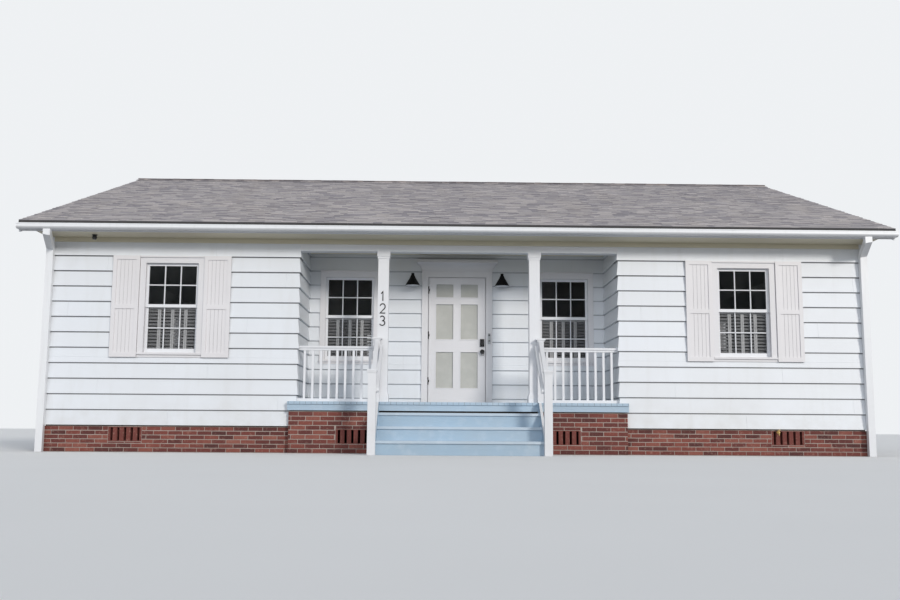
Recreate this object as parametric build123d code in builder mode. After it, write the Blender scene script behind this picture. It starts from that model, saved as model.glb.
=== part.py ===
from build123d import *

import os

# A one-storey side-gabled bungalow with a recessed front porch.
# Millimetres. Z = 0 is the ground, Y = 0 is the front wall's face, +Y goes back into the
# house, and X = 0 is the middle of the front door.

# Plan of the house
house_width = 12280.0
house_depth = 10160.0
wall_thickness = 120.0
porch_width = 4800.0
porch_depth = 1240.0
clapboard_depth = 24.0

# Heights
siding_bottom = 390.0
eave_height = 3292.0
soffit_drop = 112.0
ceiling_rise = 46.0
beam_depth = 172.0
head_drop = 382.0
riser_height = 197.0
riser_count = 4
top_riser = 159.0

# Brick foundation
brick_thickness = 190.0
brick_setback = 20.0
brick_slot_height = 16.0
brick_slot_depth = 50.0
porch_slot_height = 18.0
porch_slot_depth = 60.0
vent_slots = 5
vent_slot_width = 36.0
vent_slot_pitch = 98.0
vent_height = 212.0
vent_rim = 10.0
vent_margin = 24.0
wing_vent_from_corner = 1250.0
porch_vent_from_side = 850.0
porch_vent_top = 350.0

# Floors and ceilings
floor_thickness = 250.0
ceiling_thickness = 16.0
board_thickness = 38.0

# Roof
roof_pitch = 0.363
roof_thickness = 48.0
eave_overhang = 455.0
fascia_thickness = 22.0
drip_overhang = 33.0
rake_overhang = 270.0
barge_height = 130.0
soffit_thickness = 12.0
frieze_height = 70.0
frieze_thickness = 26.0

# Gutters and downspouts
gutter_width = 127.0
gutter_height = 82.0
gutter_floor_width = 78.0
gutter_metal = 2.5
gutter_drop = 16.0
gutter_lip = 15.0
gutter_groove = 14.0
gutter_groove_depth = 6.0
gutter_belly = 22.0
downspout_width = 102.0
downspout_depth = 76.0
downspout_outlet_inset = 165.0
downspout_run_inset = 45.0
downspout_elbow_drop = 190.0
downspout_foot = 60.0

# Corner boards
corner_board_width = 110.0
corner_board_thickness = 30.0

# Windows, all alike
window_width = 780.0
window_height = 1340.0
window_liner = 20.0
casing_width = 87.0
head_casing_height = 107.0
drip_cap_height = 25.0
drip_cap_projection = 18.0
casing_thickness = 34.0
sill_height = 72.0
sill_board = 34.0
sill_fall = 8.0
sill_projection = 58.0
sash_thickness = 30.0
sash_setback = 22.0
sash_stile = 38.0
sash_top_rail = 38.0
sash_bottom_rail = 62.0
meeting_rail = 46.0
glass_thickness = 4.0
wing_window_from_corner = 1855.0
porch_window_from_side = 663.0
side_window_from_ridge = 2050.0
back_window_inner = 1700.0

# Outside shutters at the wing windows
shutter_width = 398.0
shutter_thickness = 32.0
shutter_gap = 3.0
shutter_stile = 58.0
shutter_top_rail = 60.0
shutter_mid_rail = 63.0
shutter_bottom_rail = 67.0
shutter_panel_depth = 18.0
shutter_mid_level = 718.0
shutter_spacer = 60.0
shutter_spacer_end = 40.0
shutter_spacer_side = 20.0

# Louvred half-height shutters inside the lower sashes
cafe_shutter_height = 690.0
cafe_shutter_thickness = 26.0
cafe_shutter_gap = 6.0
cafe_leaves = 4
cafe_leaf_gap = 4.0
cafe_stile = 22.0
cafe_top_rail = 36.0
cafe_bottom_rail = 52.0
cafe_louvres = 12
cafe_louvre_width = 40.0
cafe_louvre_thickness = 5.0
cafe_louvre_tilt = 58.0

# Porch
porch_nosing = 20.0
porch_projection = 120.0
platform_margin = 105.0
rim_thickness = 22.0
rim_height = 90.0
rim_lip_height = 12.0
rim_lip_projection = 6.0
post_centre = 1135.0
post_size = 160.0
capital_width = 196.0
capital_height = 75.0
capital_neck_width = 178.0
capital_neck_height = 32.0
post_base_height = 112.0
post_base_step = 24.0
beam_thickness = 160.0
beam_trim_height = 40.0
beam_trim_projection = 14.0

# Porch railings
railing_height = 828.0
rail_cap_width = 88.0
rail_cap_height = 27.0
rail_width = 50.0
rail_height = 34.0
low_rail_height = 45.0
rail_foot_gap = 6.0
baluster_size = 33.0
baluster_pitch = 121.0

# Stair
stair_inner_width = 2330.0
tread_depth = 254.0
tread_thickness = 38.0
tread_nosing = 25.0
riser_thickness = 20.0
stringer_thickness = 38.0
stringer_rise = 45.0
newel_size = 112.0
newel_top = 1177.0
upper_newel_size = 92.0
upper_newel_height = 952.0
newel_cap_width = 142.0
newel_cap_height = 25.0
newel_cap_chamfer = 8.0
newel_bed_height = 22.0
newel_bed_projection = 8.0
handrail_width = 60.0
handrail_height = 60.0
handrail_below_cap = 100.0
side_rail_width = 38.0
side_rail_height = 66.0
side_rail_below_cap = 142.0

# Front doorway and its two leaves
door_clearance = 5.0
door_width = 914.0
jamb_thickness = 30.0
threshold_height = 12.0
door_casing_width = 100.0
door_casing_thickness = 40.0
door_casing_reveal = 8.0
stop_depth = 12.0
glazed_door_thickness = 35.0
glazed_door_face = 25.0
entry_door_thickness = 44.0
door_stile = 121.0
door_mullion = 122.0
door_top_rail = 104.0
door_frieze_rail = 114.0
door_lock_rail = 206.0
door_bottom_rail = 250.0
door_light_shares = (0.156, 0.419, 0.425)
door_moulding_width = 14.0
door_moulding_depth = 6.0
hinge_radius = 7.0
hinge_sides = 8
hinge_height = 120.0
hinge_gap = 0.3
hinge_pin_offset = 1.0
hinge_leaf_gap = 1.5
hinge_from_foot = 360.0
hinge_from_top = 197.0
crown_height = 176.0
crown_projection = 85.0
crown_fillet = 47.0
crown_bed = 9.0
crown_sag = 18.0

# Door fittings
knob_radius = 35.0
knob_thickness = 28.0
knob_neck_radius = 14.0
knob_rose_radius = 30.0
knob_rose_thickness = 8.0
knob_reach = 60.0
knob_height = 833.0
knob_backset = 49.0
keypad_width = 68.0
keypad_height = 120.0
keypad_depth = 26.0
keypad_above_knob = 145.0
bell_width = 40.0
bell_height = 165.0
bell_depth = 22.0
bell_above_knob = 215.0

# Porch lamps
lamp_centre = 720.0
lamp_below_head = 148.0
lamp_shade_radius = 122.0
lamp_shade_top_radius = 46.0
lamp_shade_height = 128.0
lamp_neck_radius = 24.0
lamp_shoulder_height = 50.0
lamp_cap_height = 25.0
lamp_metal = 3.0
turned_sides = 28
lamp_reach = 170.0
lamp_plate_radius = 45.0
lamp_plate_thickness = 16.0
lamp_plate_rise = 75.0
lamp_arm_radius = 8.0
lamp_arm_setback = 48.0

# Eave camera and hose tap
camera_from_corner = 740.0
camera_base_radius = 40.0
camera_base_height = 12.0
camera_neck_radius = 26.0
camera_ball_radius = 34.0
camera_ball_flat = 14.0
tap_drop = 45.0
tap_flange_radius = 24.0
tap_flange_thickness = 6.0
tap_pipe_radius = 12.0
tap_spout_radius = 10.0
tap_reach = 50.0
tap_spout_length = 45.0
tap_stem_radius = 6.0
tap_stem_height = 30.0
tap_handle_radius = 26.0
tap_handle_thickness = 8.0

# Worked out from the sizes above
half_width = house_width / 2
half_porch = porch_width / 2
ridge_y = house_depth / 2
tread_count = riser_count - 1
top_tread_level = tread_count * riser_height
porch_level = top_tread_level + top_riser
soffit_level = eave_height - soffit_drop
ceiling_level = soffit_level + ceiling_rise
beam_bottom = soffit_level - beam_depth
head_level = soffit_level - head_drop
fascia_front = -eave_overhang - fascia_thickness
window_sill_level = head_level - window_height
wing_window_centre = half_width - wing_window_from_corner
porch_window_centre = half_porch - porch_window_from_side
side_window_centres = (ridge_y - side_window_from_ridge, ridge_y + side_window_from_ridge)
back_window_centres = (back_window_inner, half_width - wing_window_from_corner)
door_foot = porch_level + threshold_height + door_clearance
door_top = head_level
door_height = door_top - door_foot
door_half = door_width / 2 + door_clearance
doorway_half = door_half + jamb_thickness
doorway_top = door_top + door_clearance + jamb_thickness
porch_back_inner = porch_depth + wall_thickness
glazed_front = porch_depth - glazed_door_face
entry_back = porch_back_inner
knob_level = door_foot + knob_height


def roof_under(y):
    """Height of the roof's underside at a distance y behind the front wall's face."""
    from_eave = min(y, house_depth - y) - fascia_front
    return eave_height + from_eave * roof_pitch


def block(x_range, y_range, z_range, mode=Mode.ADD):
    """A plain block between its limits on the three axes."""
    middle = [(low + high) / 2 for low, high in (x_range, y_range, z_range)]
    with Locations(tuple(middle)):
        Box(x_range[1] - x_range[0], y_range[1] - y_range[0], z_range[1] - z_range[0], mode=mode)


def extrude_along_x(points, x_range, mode=Mode.ADD):
    """A prism whose section, given as (y, z) points, runs from one x to another."""
    with BuildSketch(Plane.YZ.offset(x_range[0])) as section:
        with BuildLine():
            Polyline(*points, close=True)
        make_face()
    extrude(section.sketch, amount=x_range[1] - x_range[0], mode=mode)


def rod(start, direction, radius, length):
    """A round bar from a point along a direction."""
    x_dir = (1, 0, 0) if direction[0] == 0 else (0, 1, 0)
    with BuildSketch(Plane(start, x_dir=x_dir, z_dir=direction)) as section:
        Circle(radius)
    extrude(section.sketch, amount=length)


def turned(x, y, rings, mode=Mode.ADD):
    """A round piece about an upright axis through (x, y), from rings of (radius, z), in flat facets."""
    for (low_radius, low_z), (high_radius, high_z) in zip(rings, rings[1:]):
        with BuildSketch(Plane((x, y, low_z))) as low_ring:
            RegularPolygon(low_radius, turned_sides)
        with BuildSketch(Plane((x, y, high_z))) as high_ring:
            RegularPolygon(high_radius, turned_sides)
        loft([low_ring.sketch, high_ring.sketch], ruled=True, mode=mode)


def wall_to_roof(x_range, y_range, z_low=siding_bottom):
    """A wall whose top is cut to the slope of the roof that it carries."""
    y_low, y_high = y_range
    points = [(y_low, z_low), (y_high, z_low), (y_high, roof_under(y_high))]
    if y_low < ridge_y < y_high:
        points.append((ridge_y, roof_under(ridge_y)))
    points.append((y_low, roof_under(y_low)))
    extrude_along_x(points, x_range)


def cut_window(centre, across_y=True, wall_low=0.0):
    """The hole in a wall for one window, at a place along the wall."""
    half = window_width / 2 + window_liner
    z_range = (window_sill_level - window_liner, head_level + window_liner)
    along = (centre - half, centre + half)
    through = (wall_low - 1, wall_low + wall_thickness + 1)
    if across_y:
        block(along, through, z_range, mode=Mode.SUBTRACT)
    else:
        block(through, along, z_range, mode=Mode.SUBTRACT)


def vent_hole(centre, top, y_low, mode):
    """The whole of one air vent's place in a brick wall."""
    half = vent_slots * vent_slot_pitch / 2
    block((centre - half, centre + half), (y_low, y_low + brick_thickness),
          (top - vent_height, top), mode)


def vent(centre, top, y_low):
    """One air vent: bricks set on end with upright slots between them."""
    vent_hole(centre, top, y_low, Mode.ADD)
    first = centre - (vent_slots - 1) / 2 * vent_slot_pitch
    for slot in range(vent_slots):
        middle = first + slot * vent_slot_pitch
        x_range = (middle - vent_slot_width / 2, middle + vent_slot_width / 2)
        block(x_range, (y_low - 1, y_low + brick_thickness + 1),
              (top - vent_height + vent_rim, top - vent_rim), Mode.SUBTRACT)


parts = {}


def keep(builder, name):
    """Label a finished piece and remember it for export."""
    builder.part.label = name
    parts[name] = builder.part


# Foundation walls, each with a dark slot under the siding or the porch rim

brick_x = half_width - brick_setback
brick_y = (brick_setback, brick_setback + brick_thickness)
back_brick_y = (house_depth - brick_y[1], house_depth - brick_y[0])
slot_x = brick_x - brick_slot_depth
slot_level = siding_bottom - brick_slot_height
wing_vent_centre = half_width - wing_vent_from_corner
wing_vent_top = siding_bottom - vent_margin
porch_vent_centre = half_porch - porch_vent_from_side
platform_half = half_porch + platform_margin
porch_brick_half = platform_half - rim_thickness
rim_front = -porch_projection
porch_brick_front = rim_front + rim_thickness
porch_brick_back = porch_brick_front + brick_thickness
porch_floor_under = porch_level - board_thickness
rim_foot = porch_floor_under - rim_height

with BuildPart() as foundation_front:
    for side in (-1, 1):
        block(sorted((side * brick_x, side * half_porch)), brick_y, (0, slot_level))
        block(sorted((side * slot_x, side * half_porch)),
              (brick_y[0] + brick_slot_depth, brick_y[1]), (slot_level, siding_bottom))
        vent_hole(side * wing_vent_centre, wing_vent_top, brick_y[0], Mode.SUBTRACT)
keep(foundation_front, "foundation_front")

with BuildPart() as foundation_porch:
    for inset, level in ((0, (0, rim_foot - porch_slot_height)),
                         (porch_slot_depth, (rim_foot - porch_slot_height, rim_foot)),
                         (0, (rim_foot, porch_floor_under))):
        front = porch_brick_front + inset
        block((-half_porch, half_porch), (front, porch_brick_back), level)
        block((-porch_brick_half + inset, porch_brick_half - inset), (front, 0), level)
    for side in (-1, 1):
        vent_hole(side * porch_vent_centre, porch_vent_top, porch_brick_front, Mode.SUBTRACT)
keep(foundation_porch, "foundation_porch")

with BuildPart() as foundation_vents:
    for side in (-1, 1):
        vent(side * wing_vent_centre, wing_vent_top, brick_y[0])
        vent(side * porch_vent_centre, porch_vent_top, porch_brick_front)
keep(foundation_vents, "foundation_vents")

with BuildPart() as foundation_sides:
    for side in (-1, 1):
        inner = side * (brick_x - brick_thickness)
        along = (brick_y[1], back_brick_y[0])
        block(sorted((side * brick_x, inner)), along, (0, slot_level))
        block(sorted((side * slot_x, inner)), along, (slot_level, siding_bottom))
keep(foundation_sides, "foundation_sides")

with BuildPart() as foundation_back:
    block((-brick_x, brick_x), back_brick_y, (0, slot_level))
    block((-slot_x, slot_x), (back_brick_y[0], back_brick_y[1] - brick_slot_depth),
          (slot_level, siding_bottom))
keep(foundation_back, "foundation_back")

# Floors and ceilings

room_half = half_width - wall_thickness
room_y = (wall_thickness, house_depth - wall_thickness)


def room_slab(z_range, notch_half, notch_back):
    """A slab over the whole room, notched round the porch."""
    block((-room_half, room_half), (notch_back, room_y[1]), z_range)
    for side in (-1, 1):
        block(sorted((side * notch_half, side * room_half)), (room_y[0], notch_back), z_range)


with BuildPart() as floor:
    room_slab((porch_level - floor_thickness, porch_level), half_porch, porch_depth)
keep(floor, "floor")

with BuildPart() as ceiling:
    room_slab((ceiling_level, ceiling_level + ceiling_thickness),
              half_porch + wall_thickness, porch_back_inner)
keep(ceiling, "ceiling")

with BuildPart() as porch_floor:
    level = (porch_floor_under, porch_level)
    block((-platform_half, platform_half), (rim_front - porch_nosing, 0), level)
    block((-half_porch, half_porch), (0, porch_depth), level)
keep(porch_floor, "porch_floor")

stair_half = stair_inner_width / 2

with BuildPart() as porch_rim:
    level = (rim_foot, porch_floor_under)
    lip_level = (rim_foot, rim_foot + rim_lip_height)
    lip_y = (rim_front - rim_lip_projection, rim_front)
    block((-platform_half, platform_half), (rim_front, rim_front + rim_thickness), level)
    block((-stair_half, stair_half), lip_y, lip_level)
    for side in (-1, 1):
        ends = sorted((side * porch_brick_half, side * platform_half))
        block(ends, (rim_front + rim_thickness, 0), level)
        block(sorted((side * (stair_half + stringer_thickness), side * platform_half)), lip_y, lip_level)
keep(porch_rim, "porch_rim")

with BuildPart() as porch_ceiling:
    block((-half_porch, half_porch), (beam_thickness, porch_depth),
          (soffit_level, soffit_level + ceiling_thickness))
keep(porch_ceiling, "porch_ceiling")

# Walls

for side, name in ((-1, "left"), (1, "right")):
    ends = sorted((side * half_width, side * half_porch))
    with BuildPart() as front_wall:
        wall_to_roof(ends, (0, wall_thickness))
        cut_window(side * wing_window_centre)
    keep(front_wall, f"front_wall_{name}")

    ends = sorted((side * (half_porch + wall_thickness), side * doorway_half))
    with BuildPart() as porch_back_wall:
        wall_to_roof(ends, (porch_depth, porch_back_inner), porch_level)
        cut_window(side * porch_window_centre, wall_low=porch_depth)
    keep(porch_back_wall, f"porch_back_wall_{name}")

    wall_low = side * (half_width - wall_thickness / 2) - wall_thickness / 2
    with BuildPart() as side_wall:
        wall_to_roof((wall_low, wall_low + wall_thickness), room_y)
        for centre in side_window_centres:
            cut_window(centre, across_y=False, wall_low=wall_low)
    keep(side_wall, f"side_wall_{name}")

with BuildPart() as porch_side_walls:
    for side in (-1, 1):
        ends = sorted((side * (half_porch + wall_thickness), side * half_porch))
        wall_to_roof(ends, (wall_thickness, porch_depth), porch_level)
keep(porch_side_walls, "porch_side_walls")

with BuildPart() as wall_over_door:
    wall_to_roof((-doorway_half, doorway_half), (porch_depth, porch_back_inner), doorway_top)
keep(wall_over_door, "wall_over_door")

with BuildPart() as back_wall:
    wall_to_roof((-half_width, half_width), (room_y[1], house_depth))
    for centre in back_window_centres:
        for side in (-1, 1):
            cut_window(side * centre, wall_low=room_y[1])
keep(back_wall, "back_wall")

with BuildPart() as porch_beam:
    wall_to_roof((-half_porch, half_porch), (0, beam_thickness), beam_bottom)
    block((-half_porch, half_porch), (-beam_trim_projection, 0),
          (beam_bottom, beam_bottom + beam_trim_height))
keep(porch_beam, "porch_beam")

# Roof

rake_x = half_width + rake_overhang
eave_edge = fascia_front - drip_overhang
corner_outer = half_width + corner_board_thickness
corner_inner = corner_outer - corner_board_width


def roof_slope(y_eave, y_ridge):
    """One slope of shingled deck, cut upright at the eave and at the ridge."""
    low = roof_under(y_eave)
    high = roof_under(y_ridge)
    return [(y_eave, low), (y_ridge, high), (y_ridge, high + roof_thickness), (y_eave, low + roof_thickness)]


with BuildPart() as roof_front:
    extrude_along_x(roof_slope(eave_edge, ridge_y), (-rake_x, rake_x))
keep(roof_front, "roof_front")

with BuildPart() as roof_back:
    extrude_along_x(roof_slope(house_depth - eave_edge, ridge_y), (-rake_x, rake_x))
keep(roof_back, "roof_back")

with BuildPart() as eaves:
    fascia_half = rake_x - fascia_thickness
    block((-fascia_half, fascia_half), (fascia_front, -eave_overhang), (soffit_level, eave_height))
    block((-corner_outer, corner_outer), (-eave_overhang, 0), (soffit_level, soffit_level + soffit_thickness))
    block((-corner_inner, corner_inner), (-frieze_thickness, 0), (soffit_level - frieze_height, soffit_level))
    closing_board = [(-eave_overhang, soffit_level), (0, soffit_level),
                     (0, roof_under(0) - soffit_thickness),
                     (-eave_overhang, roof_under(-eave_overhang) - soffit_thickness)]
    for side in (-1, 1):
        ends = sorted((side * corner_outer, side * (corner_outer - fascia_thickness)))
        extrude_along_x(closing_board, ends)
    mirror(about=Plane.XZ.offset(-ridge_y))
keep(eaves, "eaves")


def under_slopes(y_start, depth):
    """The outline of a board that follows the underside of both slopes."""
    lower = [(y_start, roof_under(y_start)), (ridge_y, roof_under(ridge_y)),
             (house_depth - y_start, roof_under(y_start))]
    return lower + [(y, z - depth) for y, z in reversed(lower)]


with BuildPart() as rake_boards:
    for side in (-1, 1):
        inner = side * (rake_x - fascia_thickness)
        extrude_along_x(under_slopes(fascia_front, barge_height), sorted((side * rake_x, inner)))
        extrude_along_x(under_slopes(-eave_overhang, soffit_thickness), sorted((side * half_width, inner)))
keep(rake_boards, "rake_boards")

gutter_top = eave_height - gutter_drop
gutter_base = gutter_top - gutter_height
gutter_front = fascia_front - gutter_width

with BuildPart() as gutters:
    with BuildSketch(Plane.YZ.offset(-rake_x)) as gutter_section:
        with BuildLine():
            groove_y = gutter_front + gutter_groove_depth
            belly_top = gutter_top - gutter_lip - gutter_groove
            toe = (fascia_front - gutter_floor_width, gutter_base)
            waist = (gutter_front, belly_top - gutter_belly)
            Polyline((gutter_front, gutter_top), (fascia_front, gutter_top), (fascia_front, gutter_base), toe)
            TangentArc(toe, waist, tangent=(-1, 0))
            Polyline(waist, (gutter_front, belly_top), (groove_y, belly_top),
                     (groove_y, gutter_top - gutter_lip), (gutter_front, gutter_top - gutter_lip),
                     (gutter_front, gutter_top))
        make_face()
    extrude(gutter_section.sketch, amount=2 * rake_x)
    block((-rake_x + gutter_metal, rake_x - gutter_metal),
          (groove_y + gutter_metal, fascia_front - gutter_metal),
          (belly_top - gutter_belly, gutter_top + 1), Mode.SUBTRACT)
    block((-rake_x + gutter_metal, rake_x - gutter_metal),
          (toe[0], fascia_front - gutter_metal),
          (gutter_base + gutter_metal, belly_top), Mode.SUBTRACT)
    mirror(about=Plane.XZ.offset(-ridge_y))
keep(gutters, "gutters")

spout_y = fascia_front - gutter_width / 2
wall_spout_y = -corner_board_thickness - downspout_depth / 2


def downspout(side):
    """One downspout: out of the gutter, back to the corner board and down to the ground."""
    outlet_x = side * (half_width - downspout_outlet_inset)
    run_x = side * (half_width - downspout_run_inset)
    outlet = (outlet_x, spout_y, gutter_base)
    bend = (outlet_x, spout_y, gutter_base - downspout_foot)
    elbow = (run_x, wall_spout_y, gutter_base - downspout_elbow_drop)
    foot = (run_x, wall_spout_y, 0)
    with BuildLine() as path:
        Polyline(outlet, bend, elbow, foot)
    with BuildSketch(Plane(outlet, x_dir=(1, 0, 0), z_dir=(0, 0, -1))) as section:
        Rectangle(downspout_width, downspout_depth)
    sweep(section.sketch, path=path.line, transition=Transition.RIGHT)


with BuildPart() as downspouts:
    for side in (-1, 1):
        downspout(side)
    mirror(about=Plane.XZ.offset(-ridge_y))
keep(downspouts, "downspouts")

with BuildPart() as corner_boards:
    side_leg = corner_board_width - corner_board_thickness
    leg_outline = [(0, siding_bottom), (side_leg, siding_bottom),
                   (side_leg, roof_under(side_leg) - soffit_thickness),
                   (0, roof_under(0) - soffit_thickness)]
    for side in (-1, 1):
        block(sorted((side * corner_inner, side * corner_outer)), (-corner_board_thickness, 0),
              (siding_bottom, soffit_level))
        extrude_along_x(leg_outline, sorted((side * half_width, side * corner_outer)))
    mirror(about=Plane.XZ.offset(-ridge_y))
keep(corner_boards, "corner_boards")

# Windows, drawn once with the outside face at Y = 0 and looking along +Y

half_window = window_width / 2
hole_half = half_window + window_liner
casing_half = half_window + casing_width
sill_foot = window_sill_level - sill_height
casing_top = head_level + head_casing_height
meeting_level = window_sill_level + sash_bottom_rail + (window_height - sash_bottom_rail) / 2

with BuildPart() as window_frame:
    hole_z = (window_sill_level - window_liner, head_level + window_liner)
    block((-hole_half, hole_half), (0, wall_thickness), hole_z)
    block((-casing_half, casing_half), (-casing_thickness, 0), (sill_foot, casing_top))
    block((-half_window, half_window), (-casing_thickness - 1, wall_thickness + 1),
          (window_sill_level, head_level), Mode.SUBTRACT)
    block((-casing_half, casing_half), (-casing_thickness - drip_cap_projection, -casing_thickness),
          (casing_top - drip_cap_height, casing_top))
    extrude_along_x([(-sill_projection, window_sill_level - sill_board),
                     (-sill_projection, window_sill_level - sill_fall),
                     (0, window_sill_level), (0, window_sill_level - sill_board)],
                    (-casing_half, casing_half))


def sash(y_low, z_range, low_rail, high_rail):
    """One sash of two stiles and two rails, and the place of its glass."""
    block((-half_window, half_window), (y_low, y_low + sash_thickness), z_range)
    glass_x = (-half_window + sash_stile, half_window - sash_stile)
    glass_z = (z_range[0] + low_rail, z_range[1] - high_rail)
    block(glass_x, (y_low - 1, y_low + sash_thickness + 1), glass_z, Mode.SUBTRACT)
    return glass_x, glass_z


upper_sash_z = (meeting_level - meeting_rail / 2, head_level)
lower_sash_z = (window_sill_level, meeting_level + meeting_rail / 2)
upper_y = sash_setback
lower_y = sash_setback + sash_thickness

with BuildPart() as window_sashes:
    upper_glass = sash(upper_y, upper_sash_z, meeting_rail, sash_top_rail)
    lower_glass = sash(lower_y, lower_sash_z, sash_bottom_rail, meeting_rail)

with BuildPart() as window_glass:
    for y_low, (glass_x, glass_z) in ((upper_y, upper_glass), (lower_y, lower_glass)):
        middle = y_low + sash_thickness / 2
        block(glass_x, (middle - glass_thickness / 2, middle + glass_thickness / 2), glass_z)

wing_places = [Location((side * wing_window_centre, 0, 0)) for side in (-1, 1)]
porch_places = [Location((side * porch_window_centre, porch_depth, 0)) for side in (-1, 1)]
side_places = [Location((-half_width, y, 0), (0, 0, -90)) for y in side_window_centres]
side_places += [Location((half_width, y, 0), (0, 0, 90)) for y in side_window_centres]
back_places = [Location((side * x, house_depth, 0), (0, 0, 180))
               for x in back_window_centres for side in (-1, 1)]
window_groups = {"front": wing_places + porch_places, "rear": side_places + back_places}

for group, places in window_groups.items():
    with BuildPart() as frames:
        with Locations(*places):
            add(window_frame.part)
    keep(frames, f"{group}_window_frames")
    with BuildPart() as sashes:
        with Locations(*places):
            add(window_sashes.part)
    keep(sashes, f"{group}_window_sashes")
    with BuildPart() as glass:
        with Locations(*places):
            add(window_glass.part)
    keep(glass, f"{group}_window_glass")

# Louvred shutters inside: leaves with stiles, rails and tilted slats let into the stiles

cafe_front = lower_y + sash_thickness + cafe_shutter_gap
cafe_y = (cafe_front, cafe_front + cafe_shutter_thickness)
cafe_leaf_width = (window_width - (cafe_leaves - 1) * cafe_leaf_gap) / cafe_leaves
cafe_low = window_sill_level + cafe_bottom_rail
cafe_high = window_sill_level + cafe_shutter_height - cafe_top_rail
louvre_pitch = (cafe_high - cafe_low) / cafe_louvres

with BuildPart() as cafe_leaf:
    half_leaf_width = cafe_leaf_width / 2
    louvre_half = half_leaf_width - cafe_stile
    block((-half_leaf_width, half_leaf_width), cafe_y,
          (window_sill_level, window_sill_level + cafe_shutter_height))
    block((-louvre_half, louvre_half), (cafe_y[0] - 1, cafe_y[1] + 1),
          (cafe_low, cafe_high), Mode.SUBTRACT)
    louvre_places = [Location((0, sum(cafe_y) / 2, cafe_low + (index + 0.5) * louvre_pitch),
                              (cafe_louvre_tilt, 0, 0)) for index in range(cafe_louvres)]
    with Locations(*louvre_places):
        Box(2 * louvre_half, cafe_louvre_width, cafe_louvre_thickness)

with BuildPart() as cafe_shutters:
    leaf_pitch = cafe_leaf_width + cafe_leaf_gap
    for place in wing_places + porch_places:
        for leaf in range(cafe_leaves):
            shift = (leaf - (cafe_leaves - 1) / 2) * leaf_pitch
            with Locations(place * Location((shift, 0, 0))):
                add(cafe_leaf.part)
keep(cafe_shutters, "cafe_shutters")

# Outside shutters: framed leaves with two sunk panels, on spacers as thick as the clapboards

with BuildPart() as shutter:
    shutter_y = (-clapboard_depth - shutter_thickness, -clapboard_depth)
    half_shutter = shutter_width / 2
    block((-half_shutter, half_shutter), shutter_y, (sill_foot, casing_top))
    panel_x = (-half_shutter + shutter_stile, half_shutter - shutter_stile)
    panel_y = (shutter_y[0] - 1, shutter_y[0] + shutter_panel_depth)
    mid_z = sill_foot + shutter_mid_level
    block(panel_x, panel_y, (sill_foot + shutter_bottom_rail, mid_z), Mode.SUBTRACT)
    block(panel_x, panel_y, (mid_z + shutter_mid_rail, casing_top - shutter_top_rail), Mode.SUBTRACT)
    spacer_half = half_shutter - shutter_spacer_side
    for low in (sill_foot + shutter_spacer_end, casing_top - shutter_spacer_end - shutter_spacer):
        block((-spacer_half, spacer_half), (-clapboard_depth, 0), (low, low + shutter_spacer))

with BuildPart() as wing_shutters:
    reach = casing_half + shutter_gap + shutter_width / 2
    with Locations(*[Location((side * wing_window_centre + edge * reach, 0, 0))
                     for side in (-1, 1) for edge in (-1, 1)]):
        add(shutter.part)
keep(wing_shutters, "wing_shutters")

# Porch posts, railings and stair

post_y = post_size / 2
centred_up = (Align.CENTER, Align.CENTER, Align.MIN)
centred_down = (Align.CENTER, Align.CENTER, Align.MAX)

with BuildPart() as porch_posts:
    for side in (-1, 1):
        with Locations((side * post_centre, post_y, porch_level)):
            Box(post_size, post_size, beam_bottom - porch_level, align=centred_up)
            Box(capital_width, capital_width, post_base_height, align=centred_up)
            Box(capital_neck_width, capital_neck_width, post_base_height + post_base_step, align=centred_up)
        with Locations((side * post_centre, post_y, beam_bottom)):
            Box(capital_width, capital_width, capital_height, align=centred_down)
            Box(capital_neck_width, capital_neck_width, capital_height + capital_neck_height,
                align=centred_down)
keep(porch_posts, "porch_posts")


def across(width):
    """The stretch of a railing member of some width, centred on the posts."""
    return (post_y - width / 2, post_y + width / 2)


with BuildPart() as porch_railings:
    rail_start = post_centre + post_size / 2
    rail_top = porch_level + railing_height
    cap_under = rail_top - rail_cap_height
    rail_under = cap_under - rail_height
    low_rail = porch_level + rail_foot_gap
    count = int((half_porch - rail_start) // baluster_pitch)
    first = (half_porch + rail_start - (count - 1) * baluster_pitch) / 2
    for side in (-1, 1):
        ends = sorted((side * rail_start, side * half_porch))
        block(ends, across(rail_cap_width), (cap_under, rail_top))
        block(ends, across(rail_width), (rail_under, cap_under))
        low_ends = sorted((side * (post_centre + capital_width / 2), side * half_porch))
        block(low_ends, across(rail_width), (low_rail, low_rail + low_rail_height))
        for index in range(count):
            middle = side * (first + index * baluster_pitch)
            block((middle - baluster_size / 2, middle + baluster_size / 2), across(baluster_size),
                  (low_rail + low_rail_height, rail_under))
keep(porch_railings, "porch_railings")

with BuildPart() as stair_treads:
    for step in range(1, riser_count):
        top = step * riser_height
        face = rim_front - (riser_count - step) * tread_depth
        block((-stair_half, stair_half), (face - tread_nosing, face + tread_depth),
              (top - tread_thickness, top))
keep(stair_treads, "stair_treads")

slope = riser_height / tread_depth
toe_y = rim_front - tread_count * tread_depth
toe_level = riser_height + tread_nosing * slope + stringer_rise
level_y = toe_y + (porch_level - toe_level) / slope

with BuildPart() as stair_frame:
    for step in range(1, riser_count):
        face = rim_front - (riser_count - step) * tread_depth
        block((-stair_half, stair_half), (face, face + riser_thickness),
              ((step - 1) * riser_height, step * riser_height - tread_thickness))
    nosing_y = rim_front - porch_nosing
    outline = [(rim_front, 0), (rim_front, porch_floor_under), (nosing_y, porch_floor_under),
               (nosing_y, porch_level), (level_y, porch_level), (toe_y, toe_level), (toe_y, 0)]
    for side in (-1, 1):
        extrude_along_x(outline, sorted((side * stair_half, side * (stair_half + stringer_thickness))))
keep(stair_frame, "stair_frame")

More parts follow.
